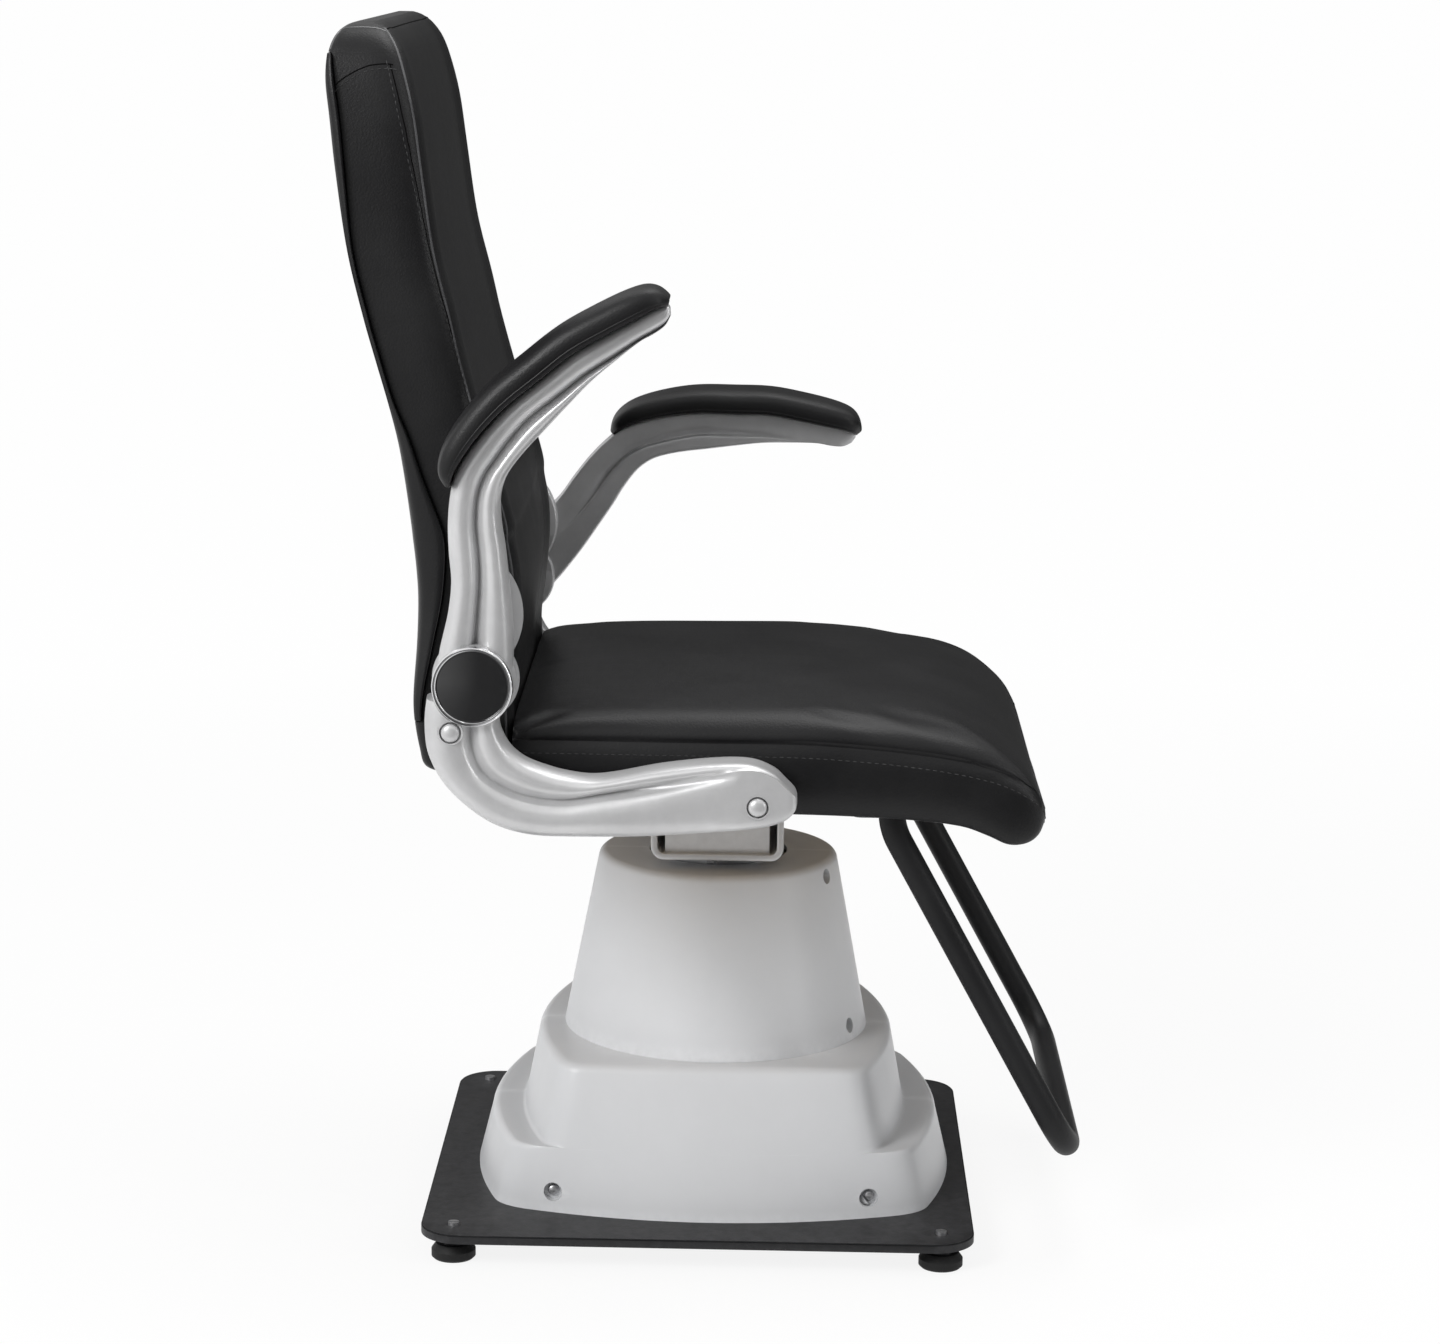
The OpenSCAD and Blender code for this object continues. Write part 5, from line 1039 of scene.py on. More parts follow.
def cover_rings(soft):
    """The back's rear cover: level rings from the seam round the outside."""
    first, last = BACK_COVER
    u = runs((first, last, 85), (first + 0.03, last - 0.03, 2))
    z, rear, seam, _, hw = back_frame(soft, u)
    z[0] += 2 * soft.gap
    z[-1] -= 2 * soft.gap
    d, e = seam - rear, np.minimum(seam - rear, PANEL_EDGE)
    corners = [(seam, 0 * hw), (seam, 0.5 * hw), (seam, hw - 1.3 * MM),
               (seam - 0.6 * MM, hw - 0.5 * MM), (seam - 0.30 * d, hw - 0.3 * MM),
               (seam - 0.75 * d, hw - 0.35 * e), (rear + 0.04 * d, hw - 1.2 * e),
               (rear, 0.8 * hw), (rear - 0.02 * d, 0.6 * hw),
               (rear - 0.05 * d, 0.3 * hw), (rear - 0.06 * d, 0 * hw)]
    rows = np.array([[x, y] for x, y in corners])
    places = runs((0, 2, 5), (2, 7, 31), (7, 10, 10))
    fine = along(rows.reshape(len(corners), -1), places).reshape(len(places), 2, -1)
    xs, ys = np.minimum(fine[:, 0].T, seam[:, None]), fine[:, 1].T
    ys[:, 0] = ys[:, -1] = 0
    half = np.stack([xs, np.maximum(ys, 0), z[:, None] + 0 * xs], axis=-1)
    return whole_rings(half)


def casting_rings(p, q, fold, y0, y1, floor, hollow):
    """A flat casting between edges p and q: outside two ridges with a fold
    between them, and inside a shallower fold of depth hollow. Each point is a
    share across and a share of the thickness, and a closed smooth curve runs
    through them."""
    w, rest = fold[:, None], 1 - fold[:, None]
    one, dip = np.ones_like(w), hollow[:, None]
    plain = np.clip((floor[:, None] - 0.66) / 0.335, 0, 1)
    across = np.concatenate([
        0.94 * one, 0.985 * one, one, 0.993 * one, w + 0.86 * rest, w + 0.62 * rest,
        w + 0.34 * rest, w + 0.13 * rest, w, 0.93 * w, 0.82 * w, 0.55 * w, 0.24 * w,
        0.06 * w, 0.008 * one, 0 * one, 0.02 * one, 0.06 * one, 0.5 * w, w - 0.14,
        w - 0.04, w + 0.03, w + 0.10 * rest + 0.03, w + 0.6 * rest], axis=1)
    deep = floor[:, None]
    through = np.concatenate([
        0 * one, 0.06 * one, 0.22 * one, 0.52 * one, 0.78 * one, 0.89 * one,
        mix(deep, 0.92, 0.80), mix(deep, 0.9, mix(0.36, 0, plain)), deep,
        mix(deep, 0.9, mix(0.38, 0, plain)), mix(0.90, 0.995, plain),
        1.0 * one, mix(0.96, 0.985, plain), mix(0.80, 0.90, plain),
        0.56 * one, 0.24 * one, 0.06 * one, 0 * one, 0 * one, 0.2 * dip, 0.8 * dip, dip,
        0.1 * dip, 0 * one], axis=1)
    spot = mix(p[:, None], q[:, None], across[..., None])
    y = mix(y0[:, None], y1[:, None], through)
    return ring_curves(np.stack([spot[..., 0], y, spot[..., 1]], axis=-1), 4)


def lowered(shape, degrees):
    """Turns a shape, drawn about the pivot, down by an angle and sets it there:
    x' = x cos a + z sin a, z' = z cos a - x sin a."""
    a = math.radians(degrees)
    for k, p in enumerate(shape.points):
        shape.points[k] = np.stack([
            PIVOT[0] + p[:, 0] * math.cos(a) + p[:, 2] * math.sin(a), p[:, 1],
            PIVOT[2] + p[:, 2] * math.cos(a) - p[:, 0] * math.sin(a)], axis=1)
    return shape


def arm_edge(metal, u, column):
    """Points of an armrest's rear (0) or front (2) edge at places u."""
    rows = along(ARM_ROWS, np.clip(u, 0, len(ARM_ROWS) - 1))
    return rows[:, column:column + 2] * [metal.arm_reach, metal.arm_rise]


def arm_shape(metal):
    """An armrest about its pivot: casting sections along its rows."""
    u = runs((0, len(ARM_ROWS) - 1, 120))
    rows = along(ARM_ROWS, u)
    cut = (1 - rows[:, 5]) * metal.arm_t / 2
    y0 = metal.arm_inner + cut
    y1 = metal.arm_inner + metal.arm_t - MM - cut
    return Surface().loft(casting_rings(arm_edge(metal, u, 0), arm_edge(metal, u, 2),
                                        rows[:, 4], y0, y1, 0 * u + 0.60,
                                        0.16 * np.clip((u - 2) / 3, 0, 1)
                                        * np.clip((13 - u) / 3, 0, 1)))


def hook_shape(metal):
    """An armrest bracket: casting sections along its rows."""
    u = runs((0, len(HOOK_ROWS) - 1, 110))
    rows = along(HOOK_ROWS, u)
    size = np.array([metal.hook_l, metal.hook_d])
    base = PIVOT[[0, 2]]
    y0 = np.full(len(u), metal.arm_inner)
    tip = np.clip((u - 12) / 2, 0, 1)
    thick = metal.arm_t * (0.55 + 0.45 * np.sqrt(1 - tip ** 2))
    floor = 0.66 + 0.335 * np.clip((u - 7.4) / 2.2, 0, 1)
    outer, inner = base + rows[:, 0:2] * size, base + rows[:, 2:4] * size
    return Surface().loft(casting_rings(outer, inner, rows[:, 4], y0, y0 + thick, floor,
                                        0 * u))


def pad_rings(soft, metal):
    """An armrest pad about the pivot: its section stands on the armrest's rear
    edge, width across the chair and thickness square to the edge."""
    rows = along(PAD_ROWS, runs((0, 2, 13), (2, 9, 36), (9, 12, 19)))
    u = rows[:, 0]
    edge = arm_edge(metal, u, 0)
    run = unit(arm_edge(metal, u + 0.2, 0) - arm_edge(metal, u - 0.2, 0))
    out = np.stack([-run[:, 1], run[:, 0]], axis=1)
    side = along(PAD_SIDE, runs((0, 2, 7), (2, 6, 21), (6, 8, 7)))
    y = side[:, 0] * rows[:, 2:3] * soft.pad_w / 2
    t = soft.gap + side[:, 1] * rows[:, 1:2] * soft.pad_t
    spot = edge[:, None] + out[:, None] * t[..., None]
    half = np.stack([spot[..., 0], y, spot[..., 1]], axis=-1)
    rings = whole_rings(half)
    rings[..., 1] += metal.arm_inner + metal.arm_t / 2
    return rings


def base_outline(cover, a, z, dy, w):
    """The base cover's half plan at a height: sides bowed by s y^2, faces
    bowed by f x^2, and each corner a quadratic curve between them."""
    share = (z - PLATE_TOP) / (COVER_TOP - PLATE_TOP)
    bow = cover.cover_y * COVER_BOW * mix(1, COVER_TOP_BOW, share)
    a, c = a - w, cover.cover_y * mix(1, COVER_TOP_WIDTH, share) - dy - w
    s, f, k = COVER_END_BOW * cover.cover_x, bow * (a / cover.cover_x) ** 2, 0.11
    yc = c - f * ((a - s) / a) ** 2
    v = np.linspace(0, 1 - k, 17)[:-1]
    side = np.stack([a - s * v ** 2, yc * v], axis=1)
    p = np.array([a - s * (1 - k) ** 2, yc * (1 - k)])
    q = np.array([a - s - k * a, c - f * ((a - s - k * a) / a) ** 2])
    t = np.linspace(0, 1, 11)[:, None]
    corner = p * (1 - t) ** 2 + np.array([a - s, yc]) * 2 * t * (1 - t) + q * t ** 2
    x = np.linspace(q[0], 0, 13)[1:]
    face = np.stack([x, c - f * (x / a) ** 2], axis=1)
    quarter = np.concatenate([side, corner, face])
    plan = np.concatenate([quarter, quarter[-2::-1] * [-1, 1]])
    plan[:, 1] = np.maximum(plan[:, 1], HALF_GAP)
    return np.column_stack([plan, np.full(len(plan), max(z - w, PLATE_TOP))])


def base_levels(cover):
    """Half length, height and draw-in of the base cover's levels, from the
    plate up: two drafted tiers with rounded edges and a fillet between them."""
    x0, r = cover.cover_x, cover.edge_r
    x1, x3 = TIER_LENGTH * x0, TOP_LENGTH * x0
    x2 = x3 + TIER_DRAFT * cover.tier_h
    zb, zc = PLATE_TOP + cover.tier_h, COVER_TOP
    t = np.linspace(0, math.pi / 2, 6)
    wall = np.linspace(0, 1, 7)
    levels = [(mix(x0, x1, v), mix(PLATE_TOP, zb - r, v), 0) for v in wall[:-1]]
    levels += [(x1 - r + r * math.cos(v), zb - r + r * math.sin(v), 0) for v in t]
    levels += [(mix(x1 - r, x2 + r / 2, v), zb, 0) for v in (0.35, 0.7)]
    levels += [(x2 + r / 2 * (1 - math.sin(v)), zb + r / 2 * (1 - math.cos(v)), 0)
               for v in t]
    levels += [(mix(x2, x3, v), mix(zb + r / 2, zc - r, v), 0) for v in wall[1:-1]]
    levels += [(x3 - r + r * math.cos(v), zc - r + r * math.sin(v), r * (1 - math.cos(v)))
               for v in t]
    return levels


def base_grid(cover, w):
    """The outside (w = 0) or the inside of the left base cover, from the plate
    to the edge of the round hole in its top."""
    rows = [base_outline(cover, a, z, dy, w) for a, z, dy in base_levels(cover)]
    rim = rows[-1]
    turn = np.arctan2(rim[:, 1], rim[:, 0])
    hole = np.column_stack([np.cos(turn), np.sin(turn), 0 * turn])
    hole *= cover.cone_foot - COVER_LAP
    hole[:, 1] = np.maximum(hole[:, 1], HALF_GAP)
    hole[:, 2] = rim[:, 2]
    return np.stack(rows + [mix(rim, hole, 0.5), hole])


def base_cover_shape(cover):
    """The left base cover: its shell with a recessed boss for each screw."""
    half, z = cover.screw_span / 2, PLATE_TOP + cover.screw_up
    share = (z - PLATE_TOP) / (COVER_TOP - PLATE_TOP)
    bow = COVER_BOW * mix(1, COVER_TOP_BOW, share) * (half / cover.cover_x) ** 2
    face = cover.cover_y * (mix(1, COVER_TOP_WIDTH, share) - bow)
    data = Surface().shell(base_grid(cover, 0.0),
                           base_grid(cover, cover.wall)).mesh("base_cover")
    for x in (-half, half):
        boss = rod(x, z, face - BOSS_D, face - SCREW_SUNK, BOSS_R)
        data = combined(data, boss, "UNION")
    for x in (-half, half):
        recess = rod(x, z, face - RECESS_D, face + OVERRUN, RECESS_R)
        bore = rod(x, z, face - OVERRUN, face, SCREW_BORE, 24)
        data = combined(combined(data, recess, "DIFFERENCE"), bore, "DIFFERENCE")
    return data


def cone_grid(cover, w, turn):
    """The outside (w = 0) or inside of half the column cover: radius and height
    of a profile up the wall, round the rim and in to the hole, turned by 180
    degrees from a start angle."""
    low, high, r = COVER_TOP + CLEAR, CONE_TOP, cover.edge_r
    draft = math.atan((cover.cone_foot - cover.cone_top) / (high - low))
    count, in_flat = 13, 4
    v, t = np.linspace(0, 1, count), np.linspace(draft, math.pi / 2, 9)[1:]
    height = mix(low, high - r + r * math.sin(draft), v)
    wall = np.stack([cover.cone_top + (high - height) * math.tan(draft), height], axis=1)
    middle = cover.cone_top + r * math.tan(draft) - r / math.cos(draft)
    rim = np.stack([middle + r * np.cos(t), high - r + r * np.sin(t)], axis=1)
    flat = np.linspace(rim[-1, 0], cover.cone_hole, in_flat + 1)[1:]
    flat = np.stack([flat, np.full(in_flat, high)], axis=1)
    profile = np.concatenate([wall, rim, flat])
    if w:
        profile[:-in_flat, 0] = np.maximum(profile[:-in_flat, 0] - w, cover.cone_hole)
        profile[count:, 1] -= w
        profile[:count, 1] = mix(low, high - r - w, v)
    s = np.linspace(0, math.pi, 73) + turn
    radius, height = profile[:, :1], profile[:, 1:] + 0 * s
    return np.stack([radius * np.cos(s), radius * np.sin(s), height], axis=-1)


def cone_shape(cover, side):
    """Half the column cover with two recessed screw holes."""
    turn = math.pi if side == "right" else 0.0
    data = Surface().shell(cone_grid(cover, 0.0, turn),
                           cone_grid(cover, cover.wall, turn)).mesh("column_cover")
    angle = math.radians(CONE_SCREW_TURN[side])
    for up in CONE_SCREWS:
        r = mix(cover.cone_foot, cover.cone_top, up / (CONE_TOP - COVER_TOP))
        turned = Matrix.Translation((0, 0, COVER_TOP + up)) @ Matrix.Rotation(angle, 4, "Z")
        for radius, x0, x1, what in (
                (CONE_BOSS_R, r - BOSS_D, r - CONE_BOSS_IN, "UNION"),
                (CONE_RECESS_R, r - RECESS_D, r + RECESS_OUT, "DIFFERENCE"),
                (SCREW_BORE, r - OVERRUN, r, "DIFFERENCE")):
            profile = [(0, x0), (radius, x0), (radius, x1), (0, x1)]
            cutter = Surface().turned(profile, (0, 0, 0), "x", 32).mesh("cutter")
            cutter.transform(turned)
            data = combined(data, cutter, what)
    return data


def footrest_path(metal, side):
    """Half the footrest's centre line, from the seat to the middle of its bar:
    an arc from upright to the slope, the slope, a rounded corner and the bar."""
    run = metal.bar_reach - metal.tube_bend
    drop = SEAT_UNDER - TUBE_IN - metal.bar_z
    lean = math.atan(run / drop) + math.asin(metal.tube_bend / math.hypot(run, drop))
    slope = (drop - metal.tube_bend * math.sin(lean)) / math.cos(lean)
    y = metal.tube_span / 2
    s = np.linspace(lean, 0, 13)
    # in the slope's own frame: u across it, v up it
    bend = np.stack([metal.tube_bend - metal.tube_bend * np.cos(s), 0 * s + y,
                     slope + metal.tube_bend * np.sin(s)], axis=1)
    straight = np.stack([np.zeros(14), np.full(14, y),
                         np.linspace(slope, metal.tube_corner, 15)[1:]], axis=1)
    s = np.linspace(0, math.pi / 2, 13)[1:]
    c = metal.tube_corner
    corner = np.stack([0 * s, y - c + c * np.cos(s), c - c * np.sin(s)], axis=1)
    bar = np.stack([np.zeros(8), np.linspace(y - c, 0, 9)[1:], np.zeros(8)], axis=1)
    path = np.concatenate([bend, straight, corner, bar])
    x, z = path[:, 0], path[:, 2]
    turned = np.stack([x * math.cos(lean) - z * math.sin(lean), path[:, 1] * side,
                       x * math.sin(lean) + z * math.cos(lean)], axis=1)
    return turned + [metal.tube_top + metal.bar_reach, 0, metal.bar_z]


# Operators: one for each piece or group of like pieces

class CHAIR_OT_seat(bpy.types.Operator):
    """Makes the seat cushion with its seam and its rows of stitches"""
    bl_idname = "chair.seat"
    bl_label = "Seat cushion"

    def execute(self, context):
        soft, looks = settings("upholstery"), finishes()
        rings, under, seam = seat_rings(soft)
        m, n = rings.shape[:2]
        piece = place("seat_upholstery", Surface().loft(rings), looks["black_leather"],
                      "seat", ["seat_cushion"], 60.0)
        held = held_points(m, n, lambda k: (k <= under) | (k == seam), HELD_RINGS)
        fill_cushion(piece, held, PRESSURE["seat"], soft.puff)
        refine(piece)
        sewing = Surface()
        for side in (seam, n - seam):
            line = rings[HELD_RINGS:, side]
            stitches(sewing, piece, line - [0, 0, SEAT_STITCH], soft)
        place("seat_stitches", sewing, looks["thread"], "seat")
        return {"FINISHED"}


class CHAIR_OT_back(bpy.types.Operator):
    """Makes the back cushion and its rear cover with their seams"""
    bl_idname = "chair.back"
    bl_label = "Back"

    def execute(self, context):
        soft, looks = settings("upholstery"), finishes()
        rings, face = back_rings(soft)
        m, n = rings.shape[:2]
        piece = place("back_upholstery", Surface().loft(rings), looks["black_leather"],
                      "seat", ["back_cushion"], 60.0)
        held = held_points(m, n, lambda k: k > face + 2, HELD_RINGS)
        fill_cushion(piece, held, PRESSURE["back"], soft.puff)
        refine(piece)
        cover = place("back_rear_panel", Surface().loft(cover_rings(soft)),
                      looks["black_leather"], "seat",
                      ["back_rear_cover"], 60.0)
        refine(cover)
        sewing, folds, dark_seams = Surface(), Surface(), Surface()
        for side in SIDES.values():
            y = side * soft.back_w / 2
            for line, radius, sewn in self.seams(soft, y):
                welt(folds if radius > MM else dark_seams, piece, line, radius)
                if sewn:
                    stitches(sewing, piece, line + np.array(sewn), soft)
        z, _, _, ahead, hw = back_frame(soft, np.full(60, ACROSS))
        across = np.stack([ahead, np.linspace(-0.95, 0.95, 60) * hw, z], axis=1)
        welt(dark_seams, piece, across, FOLD_R)
        place("back_stitches", sewing, looks["thread"], "seat")
        # The piping and the welt over the top are painted light, as a highlight.
        place("back_piping", folds, looks["piping"], "seat")
        # The thin seams are painted dark, as the shade in their grooves.
        place("back_seams", dark_seams, looks["seam"], "seat")
        return {"FINISHED"}

    def seams(self, soft, y):
        """The seams on one side of the back: path, radius of the fold, and how
        far from it a row of stitches runs."""
        def side_curve(points):
            rows = [[x * MM, y, z * MM] for x, z in points]
            return along(rows, np.linspace(0, len(rows) - 1, 12 * len(rows)))
        out = math.copysign(1, y)
        z, rear, _, ahead, hw = back_frame(soft, np.linspace(*PIPING_RUN, 200))
        front = np.stack([mix(rear, ahead, 0.93), out * 0.956 * hw, z], axis=1)
        u = np.concatenate([np.linspace(*TOP_RUN, 14), np.full(30, TOP_RUN[1])])
        share = np.concatenate([np.full(14, 0.04), np.linspace(0.04, 0.96, 30)])
        z, rear, _, ahead, hw = back_frame(soft, u)
        top = np.stack([mix(rear, ahead, share), out * 0.98 * hw, z], axis=1)
        d = SEAM_TO_STITCH
        return ((front, PIPING_R, None), (top, WELT_R, None),
                (side_curve(GUSSET_SEAM), GUSSET_R, (0, 0, -d)),
                (side_curve(PANEL_SEAM), PANEL_R, (-d, 0, 0)))


class CHAIR_OT_pads(bpy.types.Operator):
    """Makes the two armrest pads with the welt along their lower edge"""
    bl_idname = "chair.pads"
    bl_label = "Armrest pads"

    def execute(self, context):
        soft, metal, looks = settings("upholstery"), settings("metalwork"), finishes()
        rings = pad_rings(soft, metal)
        m, n = rings.shape[:2]
        held = held_points(m, n, lambda k: k < PAD_LINE)
        for side in SIDES:
            shape = lowered(Surface().loft(rings), DRAWN_AT[side])
            line = shape.points[0][:m * n].reshape(m, n, 3)
            if side == "right":
                shape, line = shape.mirrored(), line * [1, -1, 1]
            piece = place("arm_pad_cushion_" + side, shape, looks["black_leather"],
                          "armrest_" + side, ["arm_pad_" + side], 60.0)
            fill_cushion(piece, held, PRESSURE["pad"], PAD_PUFF)
            refine(piece)
            folds = Surface()
            loop = np.concatenate([line[2:-2, PAD_LINE], line[-3:1:-1, n - PAD_LINE],
                                   line[2:3, PAD_LINE]])
            welt(folds, piece, loop, FOLD_R)
            place("arm_pad_welt_" + side, folds, looks["black_leather"],
                  "armrest_" + side)
        return {"FINISHED"}


class CHAIR_OT_armrests(bpy.types.Operator):
    """Makes the cast armrests with the rings and caps of their pivots"""
    bl_idname = "chair.armrests"
    bl_label = "Armrests"

    def execute(self, context):
        metal, looks = settings("metalwork"), finishes()
        r, split = metal.hub_r, metal.arm_inner + metal.arm_t / 2
        outer = metal.arm_inner + metal.arm_t - MM
        body = arm_shape(metal).mesh("armrest")
        for y0, y1, radius, count, what in (
                (metal.arm_inner - MM, split + 2 * FIT, r + MM, 48, "DIFFERENCE"),
                (split + FIT, outer - SLIVER, r, 96, "UNION"),
                (split - MM, outer + MM, PIN_BORE, 48, "DIFFERENCE"),
                (outer - WELL_D, outer + MM, WELL_R, 48, "DIFFERENCE")):
            body = combined(body, rod(0, 0, y0, y1, radius, count), what)
        seat, rim = outer + CLEAR, r - CAP_IN
        ring = [(r - inside * MM, seat + up * MM) for inside, up in RING_PROFILE]
        cap = [(rim * share, seat + up * MM) for share, up in CAP_PROFILE]
        for side in SIDES:
            turn = Matrix.Rotation(math.radians(DRAWN_AT[side]), 4, "Y")
            move = Matrix.Translation((PIVOT[0], 0, PIVOT[2])) @ turn
            arm = body.copy()
            arm.transform(move)
            arm = other_side(arm) if side == "right" else arm
            group = "armrest_" + side
            place("arm_casting_" + side, arm, looks["silver_cast"], group,
                  ["arm_" + side])
            for name, profile, slot, node_name in (
                    ("pivot_chrome_ring_", ring, "polished_steel", "pivot_ring_"),
                    ("pivot_black_cap_", cap, "cap_plastic", "pivot_cap_")):
                shape = Surface().turned(profile, (0, 0, 0), "y", 96)
                shape = lowered(shape, DRAWN_AT[side])
                shape = shape.mirrored() if side == "right" else shape
                place(name + side, shape, looks[slot], group, [node_name + side])
        return {"FINISHED"}


class CHAIR_OT_brackets(bpy.types.Operator):
    """Makes the cast armrest brackets, their hinge cheeks and domed bolts"""
    bl_idname = "chair.brackets"
    bl_label = "Armrest brackets"

    def execute(self, context):
        metal, looks = settings("metalwork"), finishes()
        inner, outer = metal.arm_inner, metal.arm_inner + metal.arm_t
        split, (px, _, pz) = inner + metal.arm_t / 2, PIVOT
        ends = ((FRONT_BOLT[0], SEAT_UNDER + FRONT_BOLT[1]),
                (px + REAR_BOLT[0], pz + REAR_BOLT[1]))
        seat, boss = outer - BOLT_SUNK, metal.bolt_r + BOLT_WALL
        steps = [(px, pz, inner + SLIVER, split - FIT, metal.hub_r, 96, "UNION")]
        steps += [(x, z, inner + 2 * SLIVER, outer - FIT, boss, 48, "UNION")
                  for x, z in ends]
        steps += [(px, pz, split - FIT, outer + MM, metal.hub_r + MM, 72,
                   "DIFFERENCE"), (px, pz, inner - MM, outer, PIN_BORE, 72, "DIFFERENCE")]
        steps += [(x, z, seat, outer + MM, metal.bolt_r, 72, "DIFFERENCE") for x, z in ends]
        steps += [(x, z, inner - MM, outer, SHANK_BORE, 72, "DIFFERENCE") for x, z in ends]
        body = hook_shape(metal).mesh("bracket")
        for *size, what in steps:
            body = combined(body, rod(*size), what)
        bolts = Surface()
        r, foot = metal.bolt_r - BOLT_GAP, outer - BOLT_RIM
        s = np.linspace(0, math.pi / 2, 9)[:-1]
        profile = [(0, seat - SHANK_L), (SHANK_R, seat - SHANK_L),
                   (SHANK_R, seat), (r, seat)]
        profile += [(r * math.cos(v), foot + BOLT_RISE * math.sin(v)) for v in s]
        for x, z in ends:
            bolts.turned(profile + [(0, foot + BOLT_RISE)], (x, 0, z), "y", 48)
        for side in SIDES:
            data = other_side(body) if side == "right" else body
            place("bracket_casting_" + side, data, looks["silver_cast"],
                  "seat", ["arm_bracket_" + side])
            shape = Surface().loft(self.cheek(metal))
            shape = shape.mirrored() if side == "right" else shape
            place("hinge_cheek_plate_" + side, shape, looks["silver_cast"],
                  "seat", ["hinge_cheek_" + side])
        place("bracket_domed_bolts", bolts.on_both_sides(), looks["silver_cast"],
              "seat", ["bracket_bolts"])
        return {"FINISHED"}

    def cheek(self, metal):
        """The hinge cheek's rings: a half disc that rises from the hub's own
        disc, drawn in towards its middle as it nears its inner face. The half
        disc's arc and the hub's circle meet where both radii fit."""
        reach, rise, hub = metal.arm_reach, metal.arm_rise, metal.hub_r + CHEEK_LAP
        cx, cz, big, left = -0.13 * reach, 0.17 * rise, 0.378 * reach, -0.09 * reach
        z0 = cz + math.sqrt(big ** 2 - (left - cx) ** 2)
        far = math.hypot(cx, cz)
        share = (far ** 2 + big ** 2 - hub ** 2) / (2 * far * big)
        turn = math.atan2(-cz, -cx) + math.acos(share)
        a = np.linspace(math.atan2(z0 - cz, left - cx), turn, 41)
        arc = np.stack([cx + big * np.cos(a), cz + big * np.sin(a)], axis=1)
        b = np.linspace(math.atan2(arc[-1, 1], arc[-1, 0]),
                        math.atan2(math.sqrt(hub ** 2 - left ** 2), left) - 2 * math.pi, 57)
        disc = np.stack([hub * np.cos(b), hub * np.sin(b)], axis=1)[1:]
        back = np.stack([np.full(9, left), np.linspace(disc[-1, 1], z0, 11)[1:-1]], axis=1)
        outline = np.concatenate([arc, disc, back])
        middle = np.array([0.0, 0.09 * rise])
        levels = [(0.0, 1.0), (0.3, 1.0), (0.6, 0.992), (0.85, 0.975), (1.0, 0.94),
                  (1.0, 0.5)]
        rings = [middle + (outline - middle) * k for _, k in levels]
        face = metal.arm_inner - CHEEK_IN
        return np.stack([np.column_stack([PIVOT[0] + ring[:, 0],
                                          np.full(len(ring), face - CHEEK_T * h),
                                          PIVOT[2] + ring[:, 1]])
                         for (h, _), ring in zip(levels, rings)])


class CHAIR_OT_covers(bpy.types.Operator):
    """Makes the base covers with their screws, and the column covers"""
    bl_idname = "chair.covers"
    bl_label = "Covers"

    def execute(self, context):
        cover, looks = settings("covers"), finishes()
        plastic = looks["cover_plastic"]
        left = base_cover_shape(cover)
        right = other_side(left)
        x, z, depth, height = HATCH
        plan = rounded_outline(-x, x, *depth, MM, 2)
        hatch = Surface().loft(np.stack([
            np.column_stack([plan, np.full(len(plan), PLATE_TOP + z + d)])
            for d in (-height, height)])).mesh("hatch")
        left = combined(left, hatch, "DIFFERENCE")
        place("base_shell_right", right, plastic, "base",
              ["base_cover_right"])
        place("base_shell_left", left, plastic, "base",
              ["base_cover_left"])
        for side in SIDES:
            place("column_shell_" + side, cone_shape(cover, side), plastic,
                  "base", ["column_cover_" + side])
        self.screws(cover, looks["zinc_steel"])
        return {"FINISHED"}

    def screws(self, cover, steel):
        """Pan-head screws: a dome of radius R cos s and height h sin s over a
        shank, set in each recess of the base covers."""
        half, z = cover.screw_span / 2, PLATE_TOP + cover.screw_up
        s = np.linspace(0, math.pi / 2, 9)
        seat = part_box("base_cover_screws")[1].y - SCREW_SUNK
        r, shank, top = SCREW_HEAD, SCREW_SHANK, seat + SCREW_RIM
        profile = [(0, seat - SCREW_L), (shank, seat - SCREW_L), (shank, seat),
                   (r, seat)]
        profile += [(r * math.cos(v), top + SCREW_RISE * math.sin(v)) for v in s[:-1]]
        shape = Surface()
        for x in (-half, half):
            shape.turned(profile + [(0, top + SCREW_RISE)], (x, 0, z), "y", 32)
        place("base_domed_screws", shape.on_both_sides(), steel, "base",
              ["base_cover_screws"])


